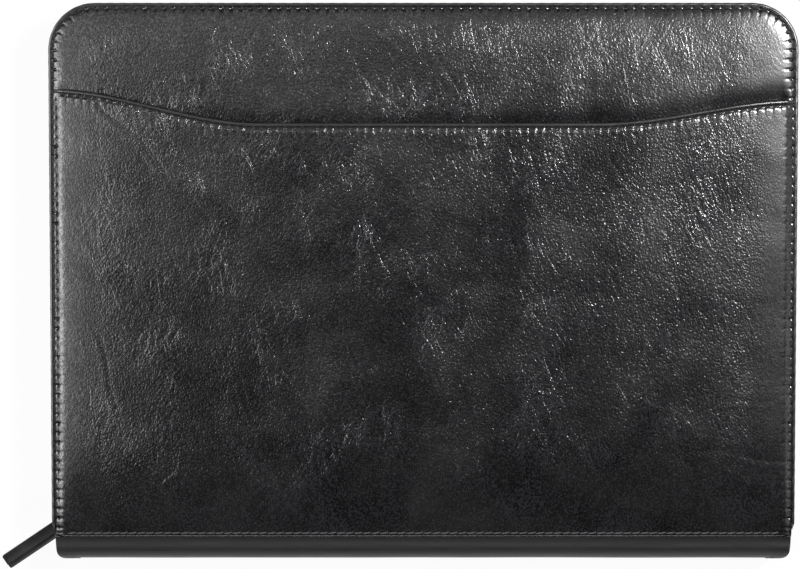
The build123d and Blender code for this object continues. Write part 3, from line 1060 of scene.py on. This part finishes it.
def spine_point(x_share, turn, inward):
    """A point of the spine strip's arc, the turn counted from straight out."""
    radius = STRIP_RADIUS - inward
    out = SPINE_Y - STRIP_LOW.y - STRIP_RADIUS + radius * cos(turn)
    depth = clamp((out - 6.6 * MM) / (4.3 * MM))
    half = STRIP_HIGH.x + 0.5 * MM - 4.2 * MM * (1 - sqrt(1 - depth * depth))
    y = SPINE_Y + 0.65 * MM - out * SPINE_FULLNESS
    return Vector((x_share * half, y, STRIP_MIDDLE + 1.05 * radius * sin(turn)))


# One stitch, and rows of it


def stitch_pattern(name, length, thickness):
    """One stitch: a rod with tapered ends that dive into the leather."""
    add = bpy.ops.mesh.primitive_cylinder_add
    piece = primitive(name, add, vertices=6, radius=thickness / 2, depth=length, rotation=(0, pi / 2, 0))
    bpy.ops.object.transform_apply(location=False, rotation=True, scale=True)
    editing(True)
    for share in (-0.36, -0.2, 0.0, 0.2, 0.36):
        bpy.ops.mesh.select_all(action="SELECT")
        bpy.ops.mesh.bisect(plane_co=(share * length, 0, 0), plane_no=(1, 0, 0))
    editing(False)
    for corner in piece.data.vertices:
        share = abs(corner.co.x) / (length / 2)
        slim = 1 - 0.45 * share**4
        corner.co.y *= slim
        corner.co.z = corner.co.z * slim - thickness * 0.75 * share**3
    return piece


def sew(name, spots, length, thickness, finish, body, lift=0.25):
    """A row of stitches at spots of (place, along, up)."""
    pattern = stitch_pattern(name + "_one", length, thickness)
    places = [settle(place + up * thickness * lift, along, up) for place, along, up in spots]
    return dress(copies(name, pattern, places), finish, body, "lining_black")


def on_surface(route, height, side=1):
    """Spots of a route of (x, y, along) on a surface height, or on its underside."""
    spots = []
    for x, y, along in route:
        spots.append((Vector((x, y, height(x, y))), along, slope_up(height, x, y) * side))
    return spots


def on_lines(points, pitch, up):
    """Spots along the straight lines that join some points."""
    spots = []
    for start, end in zip(points[:-1], points[1:]):
        run = Vector(end) - Vector(start)
        count = max(1, round(run.length / pitch))
        for index in range(count):
            spots.append((Vector(start) + run * ((index + 0.5) / count), run, Vector(up)))
    return spots


def u_line(low, high, start, edge, level):
    """Corners of a line along three sides of a box, from a start beside low x and back to it."""
    far = high.x - edge
    first = low.x + start
    near = low.y + edge
    back = high.y - edge
    return [(first, near, level), (far, near, level), (far, back, level), (first, back, level)]


def three_sided(low, high, x, y):
    """How far a point lies inside three sides of a box, which is open at low x."""
    return min(high.x - x, y - low.y, high.y - y)


def edge_stitch_places():
    """Places of the stitches round the three zipped edges."""
    places = []
    for index in range(1, round(SEAM.length / SHAPE.pitch) - 1):
        point, out = SEAM.at((index + 0.5) * SHAPE.pitch)
        places.append((point.x, point.y, Vector((-out.y, out.x, 0))))
    return places


def hem_stitch_places(pitch):
    """Places of the stitches under the pocket's hem."""
    half = ceil((HALF_LENGTH - 4 * MM) / pitch) - 1
    places = []
    for index in range(-half, half):
        x = (index + 0.5) * pitch
        rise = mouth_line(x + MM) - mouth_line(x - MM)
        places.append((x, mouth_line(x) - HEM_STITCH, Vector((2 * MM, rise, 0))))
    return places


def spine_stitch_places(pitch):
    """Places of the stitches beside the spine."""
    half = int((HALF_LENGTH - 4 * MM) / pitch)
    lean = Vector((1, 0.13, 0))
    return [((index + 0.5) * pitch, SPINE_Y + SPINE_THREAD, lean) for index in range(-half, half)]


# Operators


class PADFOLIO_OT_covers(bpy.types.Operator):
    """Build the padded leather of the front and back covers"""

    bl_idname = "padfolio.covers"
    bl_label = "Padded covers"

    def execute(self, context):
        SHAPE.read()

        def front_place(u, v):
            return Vector((*into_outline(u, v, PIPING_WIDTH), 0))

        def back_place(u, v):
            return front_place(1 - u, v)

        def by_open_seam(x, y):
            return (by_edge(x, y) or creased(x, y)) and y > mouth_line(x) - 4 * MM

        front = relief("front_cover_leather", *FRONT_MESH, front_place, front_height, by_open_seam)
        close_base(front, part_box("front_board")[1].z + 0.05 * MM)
        dress(front, "grained_leather", "front_cover", "leather_black", "front_skin", "front_foam")
        back = relief("back_cover_leather", *BACK_MESH, back_place, back_height, by_edge)
        close_base(back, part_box("back_board")[0].z - 0.05 * MM)
        dress(back, "grained_leather", "back_cover", "leather_black", "back_skin", "back_foam")
        coat_nodes("grey_board", "front_board", "back_board")
        return {"FINISHED"}


class PADFOLIO_OT_pocket(bpy.types.Operator):
    """Build the patch pocket on the front cover and its hem"""

    bl_idname = "padfolio.pocket"
    bl_label = "Front pocket"

    def execute(self, context):
        half = HALF_LENGTH - PIPING_WIDTH - 0.2 * MM

        def panel_place(u, v):
            x = (2 * u - 1) * half
            return Vector((x, SPINE_Y + v * (mouth_line(x) - 0.3 * MM - SPINE_Y), 0))

        def by_seams(x, y):
            sewn = by_edge(x, y) or mouth_line(x) - y < 8 * MM or y - SPINE_Y < 4 * MM
            return sewn or creased(x, y)

        def hem_place(u, angle):
            x = (2 * u - 1) * half
            full = smooth(min(u, 1 - u) * 400)
            below, above = HEM_SECTION[round(angle / (2 * pi) * len(HEM_SECTION)) % len(HEM_SECTION)]
            y = mouth_line(x) - below * MM
            return Vector((x, y, pocket_height(x, y) + above * MM * full))

        panel = relief("front_pocket_leather", *POCKET_MESH, panel_place, pocket_height, by_seams)
        apply_modifier(panel, "SOLIDIFY", thickness=0.85 * MM, offset=-1.0, use_even_offset=False)
        weld(panel)
        dress(panel, "grained_leather", "front_cover", "leather_black", "front_pocket_panel")
        hem = tube("pocket_hem", HEM_COLUMNS, len(HEM_SECTION), hem_place)
        dress(hem, "edge_leather", "front_cover", "leather_black", "pocket_mouth_hem")
        return {"FINISHED"}


class PADFOLIO_OT_piping(bpy.types.Operator):
    """Build the rolled edge round both covers"""

    bl_idname = "padfolio.piping"
    bl_label = "Edge piping"

    def execute(self, context):
        for side in ("front", "back"):
            low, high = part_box(side + "_edge_piping")
            route = EdgeRoute(PIPING_RADIUS, low.y)

            def place(u, angle):
                point, out = route.at(u * route.length)
                full = smooth(min(u, 1 - u) * 240) * (1 + 0.04 * sin(u * 900))
                wide = PIPING_RADIUS * boxed(cos(angle)) * full
                tall = (high.z - low.z) / 2 * boxed(sin(angle)) * full
                return at_level(point + out * wide, (low.z + high.z) / 2 + tall)

            piece = tube(side + "_piping", *PIPING_MESH, place)
            dress(piece, "edge_leather", side + "_cover", "leather_black", side + "_edge_piping")
        return {"FINISHED"}


class PADFOLIO_OT_spine(bpy.types.Operator):
    """Build the spine strip, its end hems and its cloth"""

    bl_idname = "padfolio.spine"
    bl_label = "Spine strip"

    def execute(self, context):
        end_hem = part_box("spine_lining")[1].x / STRIP_HIGH.x

        def outer_place(u, v):
            share = 2 * u - 1
            step = 0.3 * MM * smooth((abs(share) - end_hem) / 0.006)
            seam = ridge((abs(share) - end_hem - 0.012) * STRIP_HIGH.x, 0.3, 0, 0.5)
            ripple = 0.12 * MM * noise.noise(Vector((u * 9, v * 2.5, 4.0)))
            return spine_point(share, (2 * v - 1) * STRIP_REACH, 0.2 * MM - step + seam + ripple)

        def cloth_place(u, v):
            return spine_point((2 * u - 1) * 0.97, (2 * v - 1) * STRIP_REACH * 0.985, 1.5 * MM)

        strip = sheet("spine_leather", 300, 36, outer_place, 0.9 * MM, -1.0)
        dress(strip, "spine_leather", "spine", "leather_black", "spine_skin", "spine_end_hems")
        cloth = sheet("spine_cloth", 120, 20, cloth_place, 0.4 * MM)
        dress(cloth, "lining_cloth", "spine", "lining_black", "spine_lining")
        for piece in (strip, cloth):
            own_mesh(piece)
        return {"FINISHED"}


class PADFOLIO_OT_stitching(bpy.types.Operator):
    """Sew the edges, the pocket's hem and the spine's seams"""

    bl_idname = "padfolio.stitching"
    bl_label = "Outer stitching"

    def execute(self, context):
        size = sizes()
        thread = size.thread
        edge = edge_stitch_places()
        under = [spot for spot in edge if spot[1] < mouth_line(spot[0])]
        over = [spot for spot in edge if spot[1] >= mouth_line(spot[0])]
        front = on_surface(under, pocket_height) + on_surface(over, front_height)
        back = on_surface(edge, back_height, -1)
        long = size.edge_pitch * 0.78
        for side, spots in (("front", front), ("back", back)):
            sew(side + "_edge_stitches", spots, long, thread, "dark_thread", side + "_cover")
        hem = on_surface(hem_stitch_places(size.hem_pitch), pocket_height)
        sew("hem_stitches", hem, size.hem_pitch * 0.76, thread, "dark_thread", "front_cover", 0.45)
        spine = spine_stitch_places(size.spine_pitch)
        long = size.spine_pitch * 0.96
        front = on_surface(spine, pocket_height)
        back = on_surface(spine, back_height, -1)
        for side, spots in (("front", front), ("back", back)):
            sew(side + "_spine_stitches", spots, long, thread * 1.15, "seam_thread", side + "_cover", 0.6)
        return {"FINISHED"}


class PADFOLIO_OT_linings(bpy.types.Operator):
    """Lay the woven lining in both covers"""

    bl_idname = "padfolio.linings"
    bl_label = "Linings"

    def execute(self, context):
        for side in ("front", "back"):
            low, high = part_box(side + "_lining")
            middle = (low.z + high.z) / 2

            def place(u, v):
                x, y = into_outline(u, v, PIPING_WIDTH + 0.1 * MM)
                return Vector((x, y, middle + 0.04 * MM * waves(x, y, 11.0)))

            piece = sheet(side + "_lining_cloth", 90, 66, place, 0.4 * MM)
            dress(piece, "lining_cloth", side + "_cover", "lining_black", side + "_lining")
        return {"FINISHED"}


class PADFOLIO_OT_zip(bpy.types.Operator):
    """Build the zip: the strips that carry it, its tapes and its teeth"""

    bl_idname = "padfolio.zip"
    bl_label = "Zip"

    def execute(self, context):
        for side, up in (("back", 1), ("front", -1)):
            low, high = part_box(side + "_zip_gusset")
            tape_low, tape_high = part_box("zip_tape_" + side)
            strip_route = EdgeRoute(6 * MM, low.y)
            tape_route = EdgeRoute(ZIP_INSET, tape_low.y)
            floor = low.z if up > 0 else high.z

            def strip_place(u, v):
                point, out = strip_route.at(u * strip_route.length)
                turn = ridge(v * ZIP_STRIP, 0.9, 0, 1.3)
                return at_level(point + out * ((v - 0.5) * ZIP_STRIP), floor + up * (0.3 * MM + turn))

            def tape_place(u, v):
                point, out = tape_route.at(u * tape_route.length)
                sway = 0.12 * MM * sin(u * 130) * (1 - v)
                return at_level(point + out * sway, tape_low.z + v * (tape_high.z - tape_low.z))

            strip = sheet("zip_strip_" + side, 300, 8, strip_place, 0.45 * MM)
            dress(strip, "lining_cloth", side + "_cover", "lining_black", side + "_zip_gusset")
            tape = sheet("zip_cloth_" + side, 300, 6, tape_place, 0.6 * MM)
            dress(tape, "zip_tape", side + "_cover", "tape_black", "zip_tape_" + side)
            places = self.tooth_places(side, up, tape_route)
            row = copies("zip_teeth_" + side, self.tooth("tooth_" + side), places)
            dress(row, "tooth_plastic", side + "_cover", "teeth_black", "zip_chain_" + side)
            coat_nodes("enamelled_metal", "zip_stops_" + side)
        return {"FINISHED"}

    def tooth_places(self, side, up, route):
        """Places of one row's teeth, half a pitch off the other row's and short inside the slider."""
        low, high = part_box("zip_chain_" + side)
        base = low.z - 0.3 * MM if up > 0 else high.z + 0.3 * MM
        pitch = sizes().tooth_pitch
        first = low.y + 0.8 * MM - route.start + (0 if up > 0 else pitch / 2)
        places = []
        along = first
        while along < route.length - first:
            point, out = route.at(along)
            place = settle(at_level(point, base), Vector((-out.y, out.x, 0)), Vector((0, 0, up)))
            if point.x < 0 and abs(point.y - SLIDER_Y) < 3.4 * MM:
                place = place @ Matrix.Diagonal((1, 1, 0.62, 1))
            places.append(place)
            along += pitch
        return places

    def tooth(self, name):
        """One tooth: a foot that clasps the tape and a head that meets the other row."""
        half = Vector((0.68, 1.15, 0)) * MM
        top = 2.3 * MM
        piece = block(name, -half, at_level(half, top))
        pick(piece, "FACE", lambda face: face.normal.z > 0.9)
        bpy.ops.mesh.inset(thickness=0.2 * MM)
        for rise, spread in ((0.8 * MM, (1.25, 0.8, 1)), (0.6 * MM, (0.7, 0.8, 1))):
            top += rise
            raise_face(rise)
            bpy.ops.transform.resize(value=spread, center_override=(0, 0, top))
        editing(False)
        return piece


class PADFOLIO_OT_pull(bpy.types.Operator):
    """Model the zip pull and finish the slider"""

    bl_idname = "padfolio.pull"
    bl_label = "Zip pull"

    def execute(self, context):
        low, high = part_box("pull_strap")
        eye = sum(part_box("pull_eyelet"), Vector((0, 0, 0))) / 2
        lean = atan2(SLIDER_Y - eye.y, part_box("slider_crown")[0].x + 2 * MM - eye.x)
        length = 31 * MM
        half = 3.6 * MM
        step = 1.35 * MM
        raised = 0.8 * MM
        piece = block("pull_tab", (-2.6 * MM, -half, low.z - eye.z), (length, half, high.z - eye.z - raised))

        def round_end(at_end, offset, segments):
            pick(piece, "EDGE", lambda a, b: at_end(a.x) and at_end(b.x) and abs(a.y - b.y) < 0.01 * MM)
            bpy.ops.mesh.bevel(offset=offset, segments=segments)

        round_end(lambda x: x > length - 0.01 * MM, 0.9 * MM, 4)
        editing(False)
        round_end(lambda x: x < 0, 2.4 * MM, 5)
        bpy.ops.mesh.select_all(action="SELECT")
        bpy.ops.mesh.bisect(plane_co=(0, step, 0), plane_no=(0, 1, 0))
        editing(False)
        pick(piece, "FACE", lambda face: face.normal.z > 0.9 and face.center.y < step)
        raise_face(raised)
        bpy.ops.mesh.inset(thickness=0.55 * MM)
        raise_face(-0.35 * MM)
        editing(False)
        pick(piece, "FACE", lambda face: face.normal.z > 0.9 and face.center.y > step)
        bpy.ops.mesh.inset(thickness=0.4 * MM)
        raise_face(-0.18 * MM)
        editing(False)
        soften(piece, 0.16 * MM)
        add = bpy.ops.mesh.primitive_cylinder_add
        drill = primitive("drill", add, vertices=32, radius=1.15 * MM, depth=12 * MM)
        apply_modifier(piece, "BOOLEAN", operation="DIFFERENCE", object=drill, solver="EXACT")
        bpy.data.objects.remove(drill)
        only(piece)
        piece.rotation_euler = (0, 0, lean + pi)
        piece.location = eye
        bpy.ops.object.transform_apply(location=True, rotation=True, scale=True)
        bpy.ops.object.shade_smooth_by_angle(angle=radians(40))
        dress(piece, "pull_rubber", "zip_pull", "leather_black", "pull_strap")
        coat_nodes("enamelled_metal", "slider_body", "slider_crown", "pull_ring", "pull_eyelet")
        return {"FINISHED"}


class PADFOLIO_OT_writing_pad(bpy.types.Operator):
    """Finish the writing pad and build the sleeve that holds it"""

    bl_idname = "padfolio.writing_pad"
    bl_label = "Writing pad"

    def execute(self, context):
        coat_nodes("ruled_paper", "pad_sheets")
        coat_nodes("grey_board", "pad_backing_board")
        self.binding()
        low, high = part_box("pad_sleeve")

        def sleeve_place(u, v):
            x, y = inside(low, high, crowd_ends(u), crowd_ends(v))
            edge = three_sided(low, high, x, y)
            drop = (high.z - low.z - 0.3 * MM) * (1 - smooth(edge / (1.6 * MM)))
            return Vector((x, y, high.z - 0.22 * MM - drop))

        sleeve = sheet("pad_sleeve_leather", 110, 100, sleeve_place, 0.4 * MM)
        dress(sleeve, "trim_leather", "back_cover", "leather_black", "pad_sleeve")
        return {"FINISHED"}

    def binding(self):
        """The cloth that is bent over the pad's head."""
        low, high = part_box("pad_binding_strip")
        over = high.x - low.x
        down = high.z - low.z
        bend = 0.9 * MM
        corner = bend * pi / 2

        def place(u, v):
            past = v * (over + down - 2 * bend + corner) - (over - bend)
            x = low.x + 0.15 * MM
            z = high.z - 0.15 * MM
            if past < 0:
                x = low.x + bend - past
            elif past < corner:
                x += bend - bend * sin(past / bend)
                z += bend * cos(past / bend) - bend
            else:
                z -= bend + past - corner
            return Vector((x, low.y + u * (high.y - low.y), max(z, low.z)))

        strip = sheet("pad_head_cloth", 60, 36, place, 0.25 * MM)
        dress(strip, "binding_cloth", "back_cover", "lining_black", "pad_binding_strip")


class PADFOLIO_OT_pen_loop(bpy.types.Operator):
    """Build the elastic pen loop"""

    bl_idname = "padfolio.pen_loop"
    bl_label = "Pen loop"

    def execute(self, context):
        low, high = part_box("pen_loop")
        middle = (low + high) / 2
        wide = (high.y - low.y) / 2 - 0.45 * MM
        tall = (high.z - low.z) / 2 - 0.45 * MM

        def place(u, turn):
            slack = 1 - 0.05 * sin(pi * u)
            y = middle.y + wide * slack * boxed(cos(turn), 0.8)
            z = middle.z + tall * boxed(sin(turn), 0.55 if sin(turn) < 0 else 0.85)
            return Vector((low.x + u * (high.x - low.x), y, z))

        piece = tube("pen_loop_band", 30, 56, place)
        apply_modifier(piece, "SOLIDIFY", thickness=0.8 * MM, offset=0.0)
        weld(piece)
        dress(piece, "elastic_band", "back_cover", "elastic_black", "pen_loop")
        level = low.z + 0.95 * MM
        ends = [(low.x + 3 * MM, middle.y, level), (high.x - 3 * MM, middle.y, level)]
        spots = on_lines(ends, 2.6 * MM, (0, 0, 1))
        sew("pen_loop_stitches", spots, 2 * MM, FINE_THREAD, "dark_thread", "back_cover")
        return {"FINISHED"}


class PADFOLIO_OT_inner_pockets(bpy.types.Operator):
    """Build the document pocket, card pockets and card window inside the front cover"""

    bl_idname = "padfolio.inner_pockets"
    bl_label = "Inner pockets"

    def execute(self, context):
        spots = self.document_pocket()
        for name in ("upper", "middle", "lower"):
            spots += self.card_pocket(name)
        spots += self.card_window()
        sew("inner_pocket_stitches", spots, 2.7 * MM, FINE_THREAD, "dark_thread", "front_cover", 0.2)
        return {"FINISHED"}

    def document_pocket(self):
        """The large flat pocket, and the spots of its stitches."""
        low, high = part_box("document_pocket_panel")
        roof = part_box("document_pocket_gusset")[1].z

        def place(u, v):
            x, y = inside(low, high, crowd_ends(u), crowd_ends(v))
            edge = three_sided(low, high, x, y)
            rise = (roof - low.z - 0.75 * MM) * (1 - smooth(edge / (2.4 * MM)))
            return Vector((x, y, low.z + 0.35 * MM + rise))

        panel = sheet("document_pocket_leather", 100, 110, place, 0.65 * MM)
        nodes = ("document_pocket_panel", "document_pocket_gusset")
        dress(panel, "trim_leather", "front_cover", "leather_black", *nodes)
        mouth = [(low.x + 4 * MM, y, low.z) for y in (low.y + 3 * MM, high.y - 3 * MM)]
        spots = on_lines(u_line(low, high, 2 * MM, 3.6 * MM, low.z), 3.6 * MM, DOWN)
        return spots + on_lines(mouth, 3.6 * MM, DOWN)

    def card_pocket(self, name):
        """One card pocket with a shallow curved mouth, and the spots of its stitches."""
        low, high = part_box("card_pocket_" + name)
        middle = (low.z + high.z) / 2

        def place(u, v):
            side = 2 * v - 1
            mouth = low.x + 0.2 * MM
            x = mouth + u * (high.x - mouth)
            bow = 0.12 * MM * (1 - side * side) * (1 - u)
            return Vector((x, low.y + v * (high.y - low.y), middle - bow))

        piece = sheet("card_pocket_leather_" + name, 40, 50, place, 0.5 * MM)
        soften(piece, 0.12 * MM, 1)
        dress(piece, "trim_leather", "front_cover", "leather_black", "card_pocket_" + name)
        level = middle - 0.28 * MM
        hem = [(low.x + 2.4 * MM, y, level) for y in (low.y + 3 * MM, high.y - 3 * MM)]
        spots = on_lines(hem, 3.2 * MM, DOWN)
        if name == "lower":
            spots += on_lines(u_line(low, high, 1 * MM, 2.2 * MM, level), 3.2 * MM, DOWN)
        return spots

    def card_window(self):
        """The clear window and its leather frame, and the spots of the frame's stitches."""
        low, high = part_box("id_window")
        middle = (low.z + high.z) / 2

        def place(u, v):
            return Vector((*inside(low, high, u, v), middle + 0.05 * MM * sin(5 * u + 1) * sin(7 * v)))

        film = sheet("card_window_film", 24, 34, place, 0.22 * MM)
        dress(film, "clear_film", "front_cover", "vinyl_clear", "id_window")
        low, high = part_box("id_window_frame")
        border = 7 * MM
        piece = block("card_window_frame", low, high)
        pick(piece, "FACE", lambda face: abs(face.normal.z) > 0.9)
        bpy.ops.mesh.inset(thickness=border)
        bpy.ops.mesh.bridge_edge_loops()
        editing(False)
        soften(piece, 0.22 * MM)
        dress(piece, "trim_leather", "front_cover", "leather_black", "id_window_frame")
        spots = []
        for edge in (1.8 * MM, border - 1.6 * MM):
            rim = u_line(low, high, edge, edge, low.z)
            spots += on_lines(rim + rim[:1], 3.2 * MM, DOWN)
        return spots


class PADFOLIO_OT_stage(bpy.types.Operator):
    """Set up the floor, the lights and the camera"""

    bl_idname = "padfolio.stage"
    bl_label = "Stage"

    def execute(self, context):
        scene = context.scene
        setup = scene.padfolio_stage
        weak = setup.panel_power
        scene.view_settings.view_transform = "Standard"
        add = bpy.ops.mesh.primitive_plane_add
        floor = primitive("floor", add, size=8, location=(0, 0, -FLOOR_GAP))
        coat(floor, "white_floor")
        scene.world = scene.world or bpy.data.worlds.new("Studio")
        scene.world.use_nodes = True
        back = scene.world.node_tree.nodes["Background"]
        back.inputs["Color"].default_value = (1, 1, 1, 1)
        back.inputs["Strength"].default_value = WORLD_LIGHT
        self.area_light("Key", (0.58, 0.33, 0.87), (0.1, 0.05, 0), 0.18, 0.18, setup.key_power)
        self.area_light("Left strip", (-0.7, 0.05, 0.64), (-0.1, 0, 0), 0.6, 0.4, setup.side_power)
        self.area_light("Left panel", (-0.42, 0.1, 0.85), (-0.1, 0, 0), 0.8, 0.25, weak)
        self.area_light("Right panel", (0.52, 0.1, 0.85), (0.1, 0, 0), 0.5, 0.25, weak * 0.36)
        self.area_light("Right strip", (0.95, 0, 0.45), (0.1, 0, 0), 0.8, 0.5, weak * 1.6)
        self.area_light("Top panel", (-0.1, 0.52, 0.9), (0, 0.05, 0), 0.52, 0.7, setup.top_power)
        self.area_light("Spine fill", (0, -1.07, 0.76), (0, -0.12, 0.02), 1.4, 0.36, setup.fill_power)
        lens = bpy.data.cameras.new("Camera")
        lens.sensor_width = FILM_WIDTH
        lens.lens = FILM_WIDTH * setup.camera_height / setup.frame_width
        lens.clip_start = 0.01
        camera = bpy.data.objects.new("Camera", lens)
        scene.collection.objects.link(camera)
        scene.camera = camera
        tilt = setup.camera_tilt
        away = Vector((0, sin(tilt), cos(tilt))) * setup.camera_height
        camera.location = Vector(PICTURE_MIDDLE) + away
        camera.rotation_euler = (-tilt, 0, 0)
        return {"FINISHED"}

    def area_light(self, name, place, target, width, depth, power):
        """A softbox that faces a target and isn't seen itself."""
        lamp = bpy.data.lights.new(name, "AREA")
        lamp.shape = "RECTANGLE"
        lamp.size = width
        lamp.size_y = depth
        lamp.energy = power
        piece = bpy.data.objects.new(name, lamp)
        piece.visible_camera = False
        piece.location = place
        piece.rotation_euler = (Vector(place) - Vector(target)).to_track_quat("Z", "Y").to_euler()
        bpy.context.scene.collection.objects.link(piece)


class PADFOLIO_PT_panel(bpy.types.Panel):
    """Lists the padfolio's pieces in the order they are built"""

    bl_idname = "PADFOLIO_PT_panel"
    bl_label = "Padfolio"
    bl_space_type = "VIEW_3D"
    bl_region_type = "UI"
    bl_category = "Padfolio"

    def draw(self, context):
        for operator in OPERATORS:
            self.layout.operator(operator.bl_idname)


GROUPS = (PadfolioSizes, PadfolioColours, PadfolioStage)
OPERATORS = (
    PADFOLIO_OT_covers,
    PADFOLIO_OT_pocket,
    PADFOLIO_OT_piping,
    PADFOLIO_OT_spine,
    PADFOLIO_OT_stitching,
    PADFOLIO_OT_linings,
    PADFOLIO_OT_zip,
    PADFOLIO_OT_pull,
    PADFOLIO_OT_writing_pad,
    PADFOLIO_OT_pen_loop,
    PADFOLIO_OT_inner_pockets,
    PADFOLIO_OT_stage,
)


def register():
    """Registers the groups, operators and panel."""
    for kind in (*GROUPS, *OPERATORS, PADFOLIO_PT_panel):
        bpy.utils.register_class(kind)
    bpy.types.Scene.padfolio_sizes = PointerProperty(type=PadfolioSizes)
    bpy.types.Scene.padfolio_colours = PointerProperty(type=PadfolioColours)
    bpy.types.Scene.padfolio_stage = PointerProperty(type=PadfolioStage)


def unregister():
    """Takes the classes out again."""
    del bpy.types.Scene.padfolio_stage
    del bpy.types.Scene.padfolio_colours
    del bpy.types.Scene.padfolio_sizes
    for kind in reversed((*GROUPS, *OPERATORS, PADFOLIO_PT_panel)):
        bpy.utils.unregister_class(kind)


def main():
    register()
    bpy.ops.padfolio.covers()
    bpy.ops.padfolio.pocket()
    bpy.ops.padfolio.piping()
    bpy.ops.padfolio.spine()
    bpy.ops.padfolio.stitching()
    bpy.ops.padfolio.linings()
    bpy.ops.padfolio.zip()
    bpy.ops.padfolio.pull()
    bpy.ops.padfolio.writing_pad()
    bpy.ops.padfolio.pen_loop()
    bpy.ops.padfolio.inner_pockets()
    bpy.ops.padfolio.stage()


if __name__ == "__main__":
    main()
